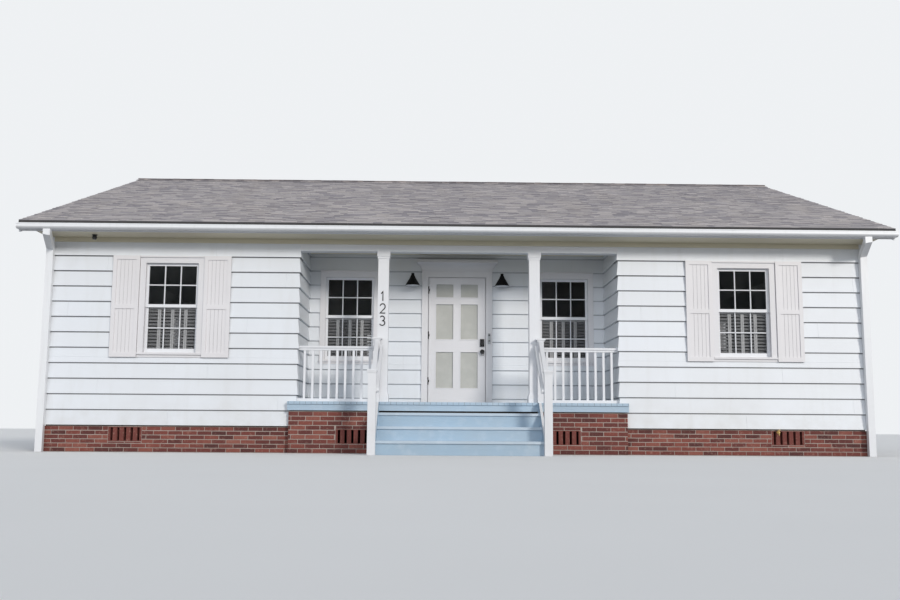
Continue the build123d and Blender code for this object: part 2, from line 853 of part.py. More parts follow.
low_newel = (stair_half + newel_size / 2, toe_y - newel_size / 2)
high_newel = (stair_half + upper_newel_size / 2, rim_front + upper_newel_size / 2)
upper_newel_top = porch_level + upper_newel_height


def newel(x, y, size, foot, top):
    """A square newel with a flat cap on a small moulding."""
    with Locations((x, y, foot)):
        Box(size, size, top - newel_cap_height - foot, align=centred_up)
    with Locations((x, y, top - newel_cap_height)):
        bed = size + 2 * newel_bed_projection
        Box(bed, bed, newel_bed_height, align=centred_down)
    with Locations((x, y, top)):
        Box(newel_cap_width, newel_cap_width, newel_cap_height, align=centred_down)


with BuildPart() as stair_rails:
    low_y = low_newel[1] + newel_size / 2
    high_y = high_newel[1] - upper_newel_size / 2
    low_z = newel_top - handrail_below_cap
    high_z = low_z + (high_y - low_y) * slope
    side_rise = (high_newel[1] - low_newel[1]) * slope
    side_high = upper_newel_top - side_rail_below_cap
    side_run = Vector(high_newel[1] - low_newel[1], side_rise)
    for side in (-1, 1):
        newel(side * low_newel[0], low_newel[1], newel_size, 0, newel_top)
        newel(side * high_newel[0], high_newel[1], upper_newel_size, porch_level, upper_newel_top)
        middle = side * high_newel[0]
        extrude_along_x([(low_y, low_z), (high_y, high_z), (high_y, high_z - handrail_height),
                         (low_y, low_z - handrail_height)],
                        (middle - handrail_width / 2, middle + handrail_width / 2))
        ends = sorted((side * stair_half, side * (stair_half - side_rail_width)))
        with BuildSketch(Plane.YZ.offset(ends[0])) as side_rail:
            with Locations(((low_newel[1] + high_newel[1]) / 2, side_high - side_rise / 2)):
                SlotCenterToCenter(side_run.length, side_rail_height, rotation=side_run.get_angle(Vector(1, 0)))
        extrude(side_rail.sketch, amount=side_rail_width)
    for top in (newel_top, upper_newel_top):
        chamfer(stair_rails.edges().filter_by_position(Axis.Z, top - 0.1, top + 0.1), newel_cap_chamfer)
keep(stair_rails, "stair_rails")

# Front doorway

casing_start = door_half + door_casing_reveal
casing_head = door_top + door_clearance + door_casing_reveal
casing_half_width = casing_start + door_casing_width
casing_y = (porch_depth - door_casing_thickness, porch_depth)

with BuildPart() as door_frame:
    jamb_foot = porch_level + threshold_height
    head_under = door_top + door_clearance
    jamb_y = (porch_depth, porch_back_inner)
    stop_y = (glazed_front + glazed_door_thickness + door_clearance,
              entry_back - entry_door_thickness - door_clearance)
    for side in (-1, 1):
        block(sorted((side * door_half, side * doorway_half)), jamb_y, (jamb_foot, doorway_top))
        block(sorted((side * (door_half - stop_depth), side * door_half)), stop_y, (jamb_foot, head_under))
        block(sorted((side * casing_start, side * casing_half_width)), casing_y, (porch_level, casing_head))
    block((-door_half, door_half), jamb_y, (head_under, doorway_top))
    block((-door_half, door_half), stop_y, (head_under - stop_depth, head_under))
    block((-casing_half_width, casing_half_width), casing_y, (casing_head, casing_head + door_casing_width))
keep(door_frame, "door_frame")

with BuildPart() as door_crown:
    crown_low = casing_head + door_casing_width
    block((-casing_half_width, casing_half_width), casing_y, (crown_low, crown_low + crown_height))
    with BuildLine() as crown_path:
        Polyline((-casing_half_width, casing_y[1], crown_low), (-casing_half_width, casing_y[0], crown_low),
                 (casing_half_width, casing_y[0], crown_low), (casing_half_width, casing_y[1], crown_low))
    crown_start = Plane((-casing_half_width, casing_y[1], crown_low), x_dir=(1, 0, 0), z_dir=(0, -1, 0))
    with BuildSketch(crown_start) as crown_section:
        with BuildLine():
            fillet_foot = (-crown_projection, crown_height - crown_fillet)
            Polyline((-crown_bed, crown_bed), (-crown_bed, 0), (0, 0), (0, crown_height),
                     (-crown_projection, crown_height), fillet_foot)
            SagittaArc(fillet_foot, (-crown_bed, crown_bed), crown_sag)
        make_face()
    sweep(crown_section.sketch, path=crown_path.line, transition=Transition.RIGHT)
keep(door_crown, "door_crown")

with BuildPart() as threshold:
    level = (porch_level, porch_level + threshold_height)
    block((-casing_start, casing_start), casing_y, level)
    block((-doorway_half, doorway_half), (porch_depth, porch_back_inner), level)
keep(threshold, "threshold")

# The two leaves with their hinges and knobs

half_leaf = door_width / 2
glazed_y = (glazed_front, glazed_front + glazed_door_thickness)
light_x = (door_mullion / 2, half_leaf - door_stile)
lights_height = door_height - door_top_rail - door_frieze_rail - door_lock_rail - door_bottom_rail
light_z = []
level = door_top - door_top_rail
for share, rail in zip(door_light_shares, (door_frieze_rail, door_lock_rail, 0)):
    light_z.append((level - share * lights_height, level))
    level -= share * lights_height + rail
door_lights = [(sorted((side * light_x[0], side * light_x[1])), z_range)
               for side in (-1, 1) for z_range in light_z]

hinge_x = -door_half + door_clearance / 2
glazed_hinge_y = glazed_y[0] - hinge_radius - hinge_pin_offset
entry_hinge_y = entry_back + hinge_radius + hinge_pin_offset
knuckle_height = hinge_height / 3
top_hinge = door_height - hinge_from_top
hinge_levels = (hinge_from_foot, (hinge_from_foot + top_hinge) / 2, top_hinge)


def knuckle(y, face, x_range, z_range):
    """One knuckle of a hinge with the plate that holds it to the surface at face."""
    block(x_range, sorted((y, face)), z_range)
    with BuildSketch(Plane((hinge_x, y, z_range[0]))) as barrel:
        RegularPolygon(hinge_radius, hinge_sides)
    extrude(barrel.sketch, amount=z_range[1] - z_range[0])


def moving_knuckles(y, face):
    """The middle knuckles of the three hinges, on the leaf."""
    half = knuckle_height / 2 - hinge_gap
    for hinge_level in hinge_levels:
        middle = door_foot + hinge_level
        knuckle(y, face, (hinge_x, -half_leaf + 2 * hinge_radius), (middle - half, middle + half))


def fixed_knuckles(y, face):
    """The outer knuckles of the three hinges, on the frame."""
    for hinge_level in hinge_levels:
        for end in (-1, 1):
            middle = door_foot + hinge_level + end * knuckle_height
            z_range = (middle - knuckle_height / 2, middle + knuckle_height / 2)
            knuckle(y, face, (-casing_start, hinge_x - hinge_leaf_gap), z_range)


def door_knob(x, y, level, outward):
    """A round knob on a neck and a flat rose; outward is the way it points along Y."""
    direction = (0, outward, 0)
    rod((x, y, level), direction, knob_rose_radius, knob_rose_thickness)
    rod((x, y, level), direction, knob_neck_radius, knob_reach - knob_thickness)
    rod((x, y + outward * (knob_reach - knob_thickness), level), direction, knob_radius, knob_thickness)


with BuildPart() as glazed_door:
    block((-half_leaf, half_leaf), glazed_y, (door_foot, door_top))
    for x_range, z_range in door_lights:
        block((x_range[0] - door_moulding_width, x_range[1] + door_moulding_width),
              (glazed_y[0] - door_moulding_depth, glazed_y[0]),
              (z_range[0] - door_moulding_width, z_range[1] + door_moulding_width))
    for x_range, z_range in door_lights:
        block(x_range, (glazed_y[0] - door_moulding_depth - 1, glazed_y[1] + 1), z_range, Mode.SUBTRACT)
keep(glazed_door, "glazed_door")

with BuildPart() as glazed_door_glass:
    middle = sum(glazed_y) / 2
    for x_range, z_range in door_lights:
        block(x_range, (middle - glass_thickness / 2, middle + glass_thickness / 2), z_range)
keep(glazed_door_glass, "glazed_door_glass")

with BuildPart() as frame_hinges:
    fixed_knuckles(glazed_hinge_y, porch_depth)
    fixed_knuckles(entry_hinge_y, entry_back)
keep(frame_hinges, "frame_hinges")

knob_x = half_leaf - knob_backset
keypad_level = knob_level + keypad_above_knob
with BuildPart() as glazed_door_hardware:
    moving_knuckles(glazed_hinge_y, glazed_y[0])
    door_knob(knob_x, glazed_y[0], knob_level, -1)
    block((knob_x - keypad_width / 2, knob_x + keypad_width / 2), (glazed_y[0] - keypad_depth, glazed_y[0]),
          (keypad_level - keypad_height / 2, keypad_level + keypad_height / 2))
keep(glazed_door_hardware, "glazed_door_hardware")

with BuildPart() as entry_door:
    block((-half_leaf, half_leaf), (entry_back - entry_door_thickness, entry_back), (door_foot, door_top))
keep(entry_door, "entry_door")

with BuildPart() as entry_door_hardware:
    moving_knuckles(entry_hinge_y, entry_back)
    door_knob(knob_x, entry_back, knob_level, 1)
keep(entry_door_hardware, "entry_door_hardware")

# Fittings

with BuildPart() as porch_lamps:
    shade_y = porch_depth - lamp_reach
    shade_foot = head_level - lamp_below_head
    shade_top = shade_foot + lamp_shade_height
    neck_foot = shade_top + lamp_shoulder_height
    lamp_top = neck_foot + lamp_cap_height
    arm_z = shade_foot + lamp_plate_rise
    neck_z = neck_foot + lamp_cap_height / 2
    for side in (-1, 1):
        lamp_x = side * lamp_centre
        turned(lamp_x, shade_y, [(lamp_shade_radius, shade_foot), (lamp_shade_top_radius, shade_top),
                                 (lamp_neck_radius, neck_foot), (lamp_neck_radius, lamp_top)])
        turned(lamp_x, shade_y, [(lamp_shade_radius - lamp_metal, shade_foot),
                                 (lamp_shade_top_radius - lamp_metal, shade_top - lamp_metal)],
               Mode.SUBTRACT)
        rod((lamp_x, porch_depth, arm_z), (0, -1, 0), lamp_plate_radius, lamp_plate_thickness)
        with BuildLine() as arm_path:
            Polyline((lamp_x, porch_depth, arm_z), (lamp_x, porch_depth - lamp_arm_setback, arm_z),
                     (lamp_x, porch_depth - lamp_arm_setback, neck_z), (lamp_x, shade_y, neck_z))
        with BuildSketch(Plane((lamp_x, porch_depth, arm_z), x_dir=(1, 0, 0), z_dir=(0, -1, 0))) as arm:
            Circle(lamp_arm_radius)
        sweep(arm.sketch, path=arm_path.line, transition=Transition.RIGHT)
keep(porch_lamps, "porch_lamps")

with BuildPart() as doorbell:
    bell_x = casing_start + door_casing_width / 2
    bell_level = knob_level + bell_above_knob
    block((bell_x - bell_width / 2, bell_x + bell_width / 2), (casing_y[0] - bell_depth, casing_y[0]),
          (bell_level - bell_height / 2, bell_level + bell_height / 2))
keep(doorbell, "doorbell")

with BuildPart() as eave_camera:
    camera_x = -half_width + camera_from_corner
    camera_y = -eave_overhang / 2
    ball_z = soffit_level - camera_base_height - camera_ball_radius
    half_flat = camera_ball_flat / 2
    base_foot = soffit_level - camera_base_height
    turned(camera_x, camera_y, [(camera_base_radius, base_foot), (camera_base_radius, soffit_level)])
    turned(camera_x, camera_y, [(camera_neck_radius, ball_z - camera_neck_radius),
                                (camera_ball_radius, ball_z - half_flat),
                                (camera_ball_radius, ball_z + half_flat), (camera_neck_radius, base_foot)])
keep(eave_camera, "eave_camera")

with BuildPart() as hose_bib:
    tap_x = wing_vent_centre - 1.5 * vent_slot_pitch
    tap_z = siding_bottom - tap_drop
    outward = (0, -1, 0)
    rod((tap_x, brick_setback, tap_z), outward, tap_flange_radius, tap_flange_thickness)
    rod((tap_x, brick_setback, tap_z), outward, tap_pipe_radius, tap_reach + tap_pipe_radius)
    tap_end = (tap_x, brick_setback - tap_reach, tap_z)
    rod(tap_end, (0, 0, -1), tap_spout_radius, tap_spout_length)
    rod(tap_end, (0, 0, 1), tap_stem_radius, tap_stem_height)
    handle_foot = (tap_x, brick_setback - tap_reach, tap_z + tap_stem_height)
    rod(handle_foot, (0, 0, 1), tap_handle_radius, tap_handle_thickness)
keep(hose_bib, "hose_bib")

os.makedirs("parts", exist_ok=True)
for name, part in parts.items():
    export_step(part, f"parts/{name}.step")
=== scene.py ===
import math

import bmesh
import bpy
from mathutils import Matrix, Vector


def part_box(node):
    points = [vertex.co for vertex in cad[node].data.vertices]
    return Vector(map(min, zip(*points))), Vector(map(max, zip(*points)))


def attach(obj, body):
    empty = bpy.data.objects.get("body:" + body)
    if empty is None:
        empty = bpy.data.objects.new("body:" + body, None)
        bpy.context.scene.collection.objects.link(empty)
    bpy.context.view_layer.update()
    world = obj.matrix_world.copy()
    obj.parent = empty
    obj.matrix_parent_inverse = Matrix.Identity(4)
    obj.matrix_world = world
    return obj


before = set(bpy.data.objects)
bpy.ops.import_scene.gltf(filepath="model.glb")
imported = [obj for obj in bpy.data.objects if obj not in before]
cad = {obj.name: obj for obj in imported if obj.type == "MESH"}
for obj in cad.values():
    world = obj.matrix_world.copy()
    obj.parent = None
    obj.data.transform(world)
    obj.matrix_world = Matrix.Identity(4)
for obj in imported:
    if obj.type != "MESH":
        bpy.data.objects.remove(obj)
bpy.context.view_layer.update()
scene = bpy.context.scene

# Sizes in metres, taken from the frame where it has them

siding_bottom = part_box("front_wall_left")[0].z
half_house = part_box("back_wall")[1].x
house_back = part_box("back_wall")[1].y
half_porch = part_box("front_wall_right")[0].x
porch_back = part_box("porch_back_wall_left")[0].y
porch_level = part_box("porch_floor")[1].z
soffit_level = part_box("porch_ceiling")[0].z
frieze_bottom = soffit_level - 0.070
ridge_y = house_back / 2
roof_low, roof_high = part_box("roof_front")
roof_thickness = 0.048
eave_reach = 0.455
soffit_end = 6.147
stair_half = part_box("stair_treads")[1].x
stair_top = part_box("stair_treads")[1].z - 0.010
corner_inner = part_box("corner_boards")[1].x - 0.110
corner_leg = 0.080
gable_gap = 0.012
casing_reach = 0.2

# Clapboards
board_exposure = 0.2286
board_butt = 0.028
board_tip = 0.003
board_ease = 0.002
board_run = 4.27
board_shift = 1.61
board_joint = 0.0015
shortest_board = 0.01
shortest_head = 0.005
shortest_course = 0.02

# Bricks
brick_slot = 0.016
porch_brick_slot = 0.018
brick_length = 0.203
brick_course = 0.0655
brick_joint = 0.010
brick_proud = 0.005
least_brick = 0.022
least_cut_course = 0.018

# Shingles and ridge caps
shingle_exposure = 0.143
shingle_tabs = (0.09, 0.26)
shingle_butt = 0.0085
least_tab = 0.02
tab_gap = 0.002
cap_width = 0.145
cap_thickness = 0.005
cap_lap = 1.25
cap_tilt = 0.03
cap_setoff = 0.068
cap_rise = 0.012
cap_unit_width = 0.14

# Boards of the porch floor, of its ceiling, of the soffit and of the room's floor
floor_board = 0.083
soffit_board = 0.090
board_gap = 0.004
board_thick = 0.0025
room_board_run = 1.6

# Boards on the shutters' sunk panels, and the stiles and rails round them
shutter_boards = 5
shutter_stile = 0.058
shutter_panels = ((0.067, 0.718), (0.781, 1.459))
shutter_panel_depth = 0.018
shutter_board_thick = 0.004

# House number
digit_size = (0.086, 0.140)
digit_pitch = 0.185
digit_bottom = 2.260
digit_shift = -0.006
digit_stroke = 0.014
digit_thick = 0.008

# Window bars
bar_width = 0.018
bar_depth = 0.024

# Downspouts with their bands, and gutters with their straps
spout_size = (0.102, 0.076)
band_levels = (0.75, 1.75, 2.65)
band_half_height = 0.013
band_proud = 0.0015
strap_pitch = 0.61
strap_half_width = 0.0125

# Keys of the keypad
keypad_width = 0.068
key_pitch = (0.018, 0.022)
key_half = (0.006, 0.0055)
key_from_top = 0.026

# Half the width of the stage
stage_reach = 400.0

# The photograph's camera
camera_place = Vector((-0.373, -14.67, 0.354))
camera_lens = 39.5
camera_pitch = math.radians(7.48)
camera_yaw = math.radians(0.93)
camera_roll = math.radians(0.38)

# Levels nearer than this are one
slack = 1e-4


# Nodes of materials and of geometry, written as sums

def sum_of(operation, swapped=False):
    """A method that joins a Value to another, or changes it alone, by one operation."""
    def method(self, other=None):
        pair = (other, self) if swapped else (self, other)
        return self.nodes.node("ShaderNodeMath", dict(enumerate(pair)), operation=operation)
    return method


class Value:
    """One output of a node, which can stand in a sum with numbers and other outputs."""

    def __init__(self, nodes, socket):
        self.nodes = nodes
        self.socket = socket

    __add__ = sum_of("ADD")
    __sub__ = sum_of("SUBTRACT")
    __rsub__ = sum_of("SUBTRACT", swapped=True)
    __mul__ = sum_of("MULTIPLY")
    __truediv__ = sum_of("DIVIDE")
    __lt__ = sum_of("LESS_THAN")
    __gt__ = sum_of("GREATER_THAN")
    floor = sum_of("FLOOR")
    ceil = sum_of("CEIL")
    least = sum_of("MINIMUM")
    most = sum_of("MAXIMUM")
    size = sum_of("ABSOLUTE")


class Nodes:
    """A node tree, and the one way in which its nodes are added."""

    def __init__(self, tree):
        self.tree = tree

    def node(self, kind, inputs=None, output=0, **settings):
        """Add a node, set it up, fill or link its inputs, and return an output."""
        made = self.tree.nodes.new(kind)
        for name, value in settings.items():
            setattr(made, name, value)
        for key, value in (inputs or {}).items():
            if isinstance(value, Value):
                self.tree.links.new(value.socket, made.inputs[key])
            elif value is not None:
                made.inputs[key].default_value = value
        return Value(self, made.outputs[output]) if made.outputs else None

    def blend(self, amount, *colours):
        """The first colour turning into the second as amount goes from 0 to 1."""
        first, second = [(*colour, 1.0) if isinstance(colour, tuple) else colour for colour in colours]
        return self.node("ShaderNodeMix", {0: amount, 6: first, 7: second}, 2, data_type="RGBA")

    def vector(self, x=0.0, y=0.0, z=0.0):
        return self.node("ShaderNodeCombineXYZ", {0: x, 1: y, 2: z})


# Materials

class Paint(Nodes):
    """One surface finish."""

    def __init__(self, name):
        self.material = bpy.data.materials.new(name)
        self.material.use_nodes = True
        super().__init__(self.material.node_tree)
        self.tree.nodes.clear()
        self.place = self.node("ShaderNodeTexCoord", output="Object")

    def axis(self, name, kind="Object"):
        """The coordinate along X, Y or Z."""
        vector = self.node("ShaderNodeTexCoord", output=kind)
        return self.node("ShaderNodeSeparateXYZ", {0: vector}, "XYZ".index(name))

    def slant(self, name):
        """How far a face is turned towards X, Y or Z, to either side: from 0 to 1."""
        return self.axis(name, "Normal").size()

    def noise(self, scale, detail=3.0, stretch=(1, 1, 1)):
        """Cloudy noise, with so many clouds to the metre."""
        place = self.node("ShaderNodeMapping", {"Vector": self.place, "Scale": stretch})
        return self.node("ShaderNodeTexNoise", {"Vector": place, "Scale": scale, "Detail": detail})

    def span(self, value, low, high):
        """The value from low to high spread over 0 to 1 and held there."""
        return self.node("ShaderNodeMapRange", {"Value": value, "From Min": low, "From Max": high})

    def clouds(self, low, high, scale, detail=4.0, stretch=(1, 1, 1)):
        """Cloudy patches: 0 where the noise is low, and 1 where it is high."""
        return self.span(self.noise(scale, detail, stretch), low, high)

    def gaps(self, name, pitch):
        """1 in the gaps between boards laid along an axis, and 0 on the boards."""
        place = self.axis(name) / pitch
        return (place - place.floor()) < board_gap / pitch

    def chance(self, *steps):
        """A random number from 0 to 1 for each whole step of the given values."""
        return self.node("ShaderNodeTexWhiteNoise", {"Vector": self.vector(*steps)})

    def mark(self, name):
        """A number that the piece's mesh carries."""
        return self.node("ShaderNodeAttribute", output="Fac", attribute_name=name)

    def ramp(self, amount, *stops):
        """The colour for an amount, between stops that each hold a place and a colour."""
        made = self.node("ShaderNodeValToRGB", {"Fac": amount})
        elements = made.socket.node.color_ramp.elements
        while len(elements) < len(stops):
            elements.new(1.0)
        for element, (place, colour) in zip(elements, stops):
            element.position = place
            element.color = (*colour, 1.0)
        return made

    def finish(self, colour, roughness, relief=None, depth=0.001, **fixed):
        """Close the finish; depth is how deep its relief is, in metres."""
        inputs = {"Base Color": colour, "Roughness": roughness}
        if relief is not None:
            inputs["Normal"] = self.node("ShaderNodeBump", {"Height": relief, "Distance": depth})
        inputs.update({name.replace("_", " "): value for name, value in fixed.items()})
        surface = self.node("ShaderNodeBsdfPrincipled", inputs)
        self.node("ShaderNodeOutputMaterial", {"Surface": surface})
        return self.material


def brushed_paint(name, colour=(0.81, 0.82, 0.85), dust=(0.52, 0.50, 0.46), grain=(1.5, 1.5, 45.0),
                  gloss=0.36, splash=0.0):
    """Paint brushed over wood, with faint marks, uneven dust, and splash near the ground."""
    paint = Paint(name)
    marks = paint.noise(3.0, 5.0, grain)
    clouds = paint.clouds(0.38, 0.72, 0.7)
    specks = paint.clouds(0.60, 0.78, 55.0, 2.0)
    dirt = clouds * 0.16 + paint.span(marks, 0.55, 0.85) * 0.10 + specks * 0.06
    if splash:
        low = 1 - paint.span(paint.axis("Z"), siding_bottom - 0.05, siding_bottom + 0.45)
        dirt = dirt + low * paint.clouds(0.35, 0.75, 4.0, 5.0) * splash
    return paint.finish(paint.blend(dirt, colour, dust), marks * 0.18 + gloss, marks, 0.0008)


def siding_paint():
    """White clapboard paint that differs a little from board to board, with painted shade along the top of
    each board under the butt above, weaker in the porch recess.
    """
    paint = Paint("siding_paint")
    marks = paint.noise(3.0, 5.0, (1.5, 1.5, 45.0))
    lap = (paint.axis("Z") - siding_bottom) / board_exposure
    course = lap.floor()
    # painted shade: a dark band on each board's top, just under the butt of the board above
    painted_lap_shade = paint.span(lap - course, 0.915, 0.940)
    run = ((paint.axis("X") + paint.axis("Y") + course * 1.7) / board_run).floor()
    board = paint.chance(course, run)
    clouds = paint.clouds(0.40, 0.70, 0.8, 5.0)
    runs = paint.clouds(0.52, 0.80, 2.2, 4.0, (3.0, 3.0, 0.35))
    low = 1 - paint.span(paint.axis("Z"), siding_bottom - 0.02, siding_bottom + 0.50)
    splash = low * paint.clouds(0.35, 0.75, 5.0, 5.0)
    dirt = clouds * 0.14 + runs * 0.14 + board * 0.10 + splash * 0.30
    colour = paint.blend(dirt, (0.80, 0.83, 0.875), (0.55, 0.53, 0.49))
    # the painted shade under the butts is weaker in the porch recess
    recessed = (paint.axis("Y") > 0.3) * (paint.axis("Y") < porch_back + 0.05)
    colour = paint.blend(painted_lap_shade * (0.80 - recessed * 0.42), colour, (0.11, 0.11, 0.115))
    return paint.finish(colour, marks * 0.16 + 0.38, marks, 0.0009)


def fired_brick(name, even_tone=None):
    """Red brick, sanded and worn, with a tone for each one or one for all."""
    paint = Paint(name)
    tone = paint.noise(9.0, 4.0) * 0.25 + (even_tone or paint.mark("tone") * 0.7 + 0.05)
    clay = paint.ramp(tone, (0.0, (0.040, 0.018, 0.018)), (0.35, (0.125, 0.034, 0.029)),
                      (0.7, (0.21, 0.058, 0.044)), (1.0, (0.32, 0.125, 0.092)))
    sand = paint.noise(260.0, 4.0)
    worn = paint.clouds(0.56, 0.74, 30.0, 5.0) * 0.35
    colour = paint.blend(worn, clay, (0.50, 0.30, 0.24))
    return paint.finish(colour, sand * 0.15 + 0.78, sand + paint.noise(60.0) * 0.8, 0.0022)


def mortar():
    """Pale sandy mortar, darker with damp near the ground, and painted black shade behind the top tread."""
    paint = Paint("mortar")
    sand = paint.noise(340.0)
    damp = (1 - paint.span(paint.axis("Z"), 0.0, 0.30)) * paint.clouds(0.3, 0.7, 4.0)
    pale = paint.blend(paint.noise(12.0, 4.0), (0.38, 0.32, 0.28), (0.53, 0.46, 0.41))
    # painted shade: black on the facing behind the top tread, under the porch rim
    painted_shade_behind_tread = (paint.axis("X").size() < stair_half) * (paint.axis("Z") > stair_top)
    colour = paint.blend(damp * 0.6, pale, (0.20, 0.16, 0.13))
    colour = paint.blend(painted_shade_behind_tread * 0.9, colour, (0.02, 0.018, 0.018))
    return paint.finish(colour, sand * 0.1 + 0.85, sand, 0.0020)


def roof_shingle():
    """Mineral granules on asphalt in mixed greys, a tone for each tab, and painted shade on the tabs' butts.
    """
    paint = Paint("roof_shingle")
    granules = paint.noise(420.0)
    tone = paint.mark("tone") * 0.44 + granules * 0.42 + paint.noise(0.55, 4.0) * 0.26 - 0.11
    colour = paint.ramp(tone, (0.0, (0.150, 0.143, 0.165)), (0.3, (0.34, 0.317, 0.335)),
                        (0.6, (0.60, 0.553, 0.540)), (1.0, (0.84, 0.775, 0.720)))
    streaks = paint.clouds(0.50, 0.74, 1.1, 5.0, (2.2, 0.35, 0.35))
    colour = paint.blend(streaks * 0.25, colour, (0.40, 0.345, 0.300))
    # painted shade: the tabs' butts, which face down the slope, are darkened bluish
    painted_butt_shade = paint.slant("Y") > 0.6
    colour = paint.blend(painted_butt_shade * 0.7, colour, (0.085, 0.085, 0.105))
    return paint.finish(colour, granules * 0.1 + 0.85, granules, 0.0030)


def porch_enamel(name, white_from=None, board=None, paleness=0.25):
    """Blue-grey floor enamel, scuffed by feet, with board gaps, or white beyond a distance."""
    paint = Paint(name)
    marks = paint.noise(3.0, 5.0, (2.0, 9.0, 40.0))
    scuff = paint.clouds(0.52, 0.78, 7.0, 6.0, (1.0, 2.0, 1.0))
    dust = paint.clouds(0.40, 0.75, 1.6)
    colour = paint.blend(scuff * 0.3 + paleness, (0.33, 0.465, 0.59), (0.60, 0.68, 0.76))
    relief = marks
    if white_from:
        colour = paint.blend(paint.axis("X").size() > white_from, colour, (0.80, 0.81, 0.83))
    colour = paint.blend(dust * 0.18, colour, (0.45, 0.43, 0.39))
    if board:
        gap = paint.gaps("X", board)
        colour = paint.blend(gap * 0.8, colour, (0.10, 0.11, 0.12))
        relief = marks * 0.4 - gap
    return paint.finish(colour, marks * 0.2 + 0.34, relief, 0.0010)


def eave_paint():
    """White fascia; the soffit of narrow boards and the frieze are painted cream, as painted shade warmed by
    light bounced from the ground.
    """
    paint = Paint("eave_paint")
    marks = paint.noise(3.0, 5.0, (1.5, 40.0, 40.0))
    clouds = paint.clouds(0.38, 0.72, 0.7)
    # painted shade: the soffit and frieze under the eave are tinted cream instead of white
    shaded_under_eave = (paint.axis("Z") < soffit_level + 0.0005) * (
        (paint.axis("Y") - ridge_y).size() < ridge_y + eave_reach - 0.0005)
    gap = paint.gaps("Y", soffit_board) * shaded_under_eave * (paint.axis("Z") > soffit_level - 0.001)
    colour = paint.blend(shaded_under_eave, (0.82, 0.83, 0.85), (0.70, 0.65, 0.50))
    colour = paint.blend((clouds * 0.16 + gap * 0.7).least(1.0), colour, (0.40, 0.36, 0.29))
    return paint.finish(colour, marks * 0.18 + 0.36, marks * 0.4 - gap, 0.0012)


def boarded_ceiling():
    """Cream paint on the porch ceiling's narrow matched boards."""
    paint = Paint("boarded_ceiling")
    marks = paint.noise(3.0, 5.0, (1.5, 40.0, 40.0))
    clouds = paint.clouds(0.38, 0.72, 0.9)
    gap = paint.gaps("Y", soffit_board)
    colour = paint.blend(clouds * 0.16, (0.74, 0.69, 0.54), (0.50, 0.44, 0.33))
    colour = paint.blend(gap * 0.7, colour, (0.20, 0.17, 0.12))
    return paint.finish(colour, marks * 0.18 + 0.36, marks * 0.4 - gap, 0.0012)


def shutter_enamel():
    """Warm white enamel on board shutters, dark in the grooves between the boards."""
    paint = Paint("shutter_enamel")
    marks = paint.noise(3.0, 5.0, (45.0, 45.0, 1.5))
    clouds = paint.clouds(0.38, 0.72, 0.8)
    groove = paint.axis("Y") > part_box("wing_shutters")[0].y + shutter_panel_depth - 0.001
    colour = paint.blend(clouds * 0.14, (0.785, 0.768, 0.785), (0.50, 0.47, 0.44))
    colour = paint.blend(groove * 0.55, colour, (0.24, 0.23, 0.23))
    return paint.finish(colour, marks * 0.18 + 0.32, marks, 0.0008)


def louvre_enamel():
    """White enamel on louvred leaves, with painted shade darkening the tilted slats against their frames."""
    paint = Paint("louvre_enamel")
    marks = paint.noise(3.0, 5.0, (45.0, 45.0, 1.5))
    clouds = paint.clouds(0.35, 0.75, 6.0)
    rise = paint.slant("Z")
    # painted shade: the tilted slat faces are darkened to dark grey
    shaded_slat = (rise > 0.3) * (rise < 0.95)
    colour = paint.blend(clouds * 0.15, (0.90, 0.90, 0.91), (0.55, 0.52, 0.48))
    colour = paint.blend(shaded_slat * 0.75, colour, (0.20, 0.20, 0.21))
    return paint.finish(colour, marks * 0.18 + 0.36, marks, 0.0006)


def worn_finish(name, colour, worn, patches, share, gloss, relief, depth, **others):
    """A colour that wears to another in patches, over a fine relief.

    The gloss, and any other pair, holds what a patch adds and what is there without one.
    """
    paint = Paint(name)
    patch = paint.clouds(*patches)
    for label, value in others.items():
        if isinstance(value, tuple):
            others[label] = patch * value[0] + value[1]
    colour = paint.blend(patch * share, colour, worn)
    return paint.finish(colour, patch * gloss[0] + gloss[1], paint.noise(*relief), depth, **others)


def room_plaster():
    """Flat wall paint over plaster, as the rooms have it."""
    paint = Paint("room_plaster")
    roll = paint.noise(180.0)
    colour = paint.blend(paint.noise(0.9) * 0.5, (0.46, 0.45, 0.43), (0.38, 0.37, 0.35))
    return paint.finish(colour, roll * 0.1 + 0.80, roll, 0.0006)


def oak_floor():
    """Narrow oak boards along the house, each with its own tone."""
    paint = Paint("oak_floor")
    across = paint.axis("Y") / floor_board
    strip = across.floor()
    run = ((paint.axis("X") + strip * 0.77) / room_board_run).floor()
    tone = paint.chance(strip, run)
    grain = paint.noise(4.0, 6.0, (1.0, 24.0, 24.0))
    colour = paint.ramp(tone * 0.6 + grain * 0.5, (0.1, (0.13, 0.065, 0.03)), (0.9, (0.36, 0.21, 0.10)))
    gap = (across - strip) > 0.02
    return paint.finish(colour, grain * 0.2 + 0.3, gap * 0.6 + grain * 0.2, 0.0015)


def deck_felt():
    """Black roofing felt under the shingles."""
    paint = Paint("deck_felt")
    fibre = paint.noise(140.0, 5.0, (1.0, 3.0, 1.0))
    colour = paint.blend(fibre, (0.030, 0.030, 0.032), (0.085, 0.082, 0.080))
    return paint.finish(colour, fibre * 0.1 + 0.85, fibre, 0.0010)


# The finishes, on the nodes of the frame that show them

def dress(material, words):
    """Put a finish on the nodes whose names hold one of the words, over any earlier finish."""
    for name, node in cad.items():
        if any(word in name for word in words.split()):
            node.data.materials.clear()
            node.data.materials.append(material)


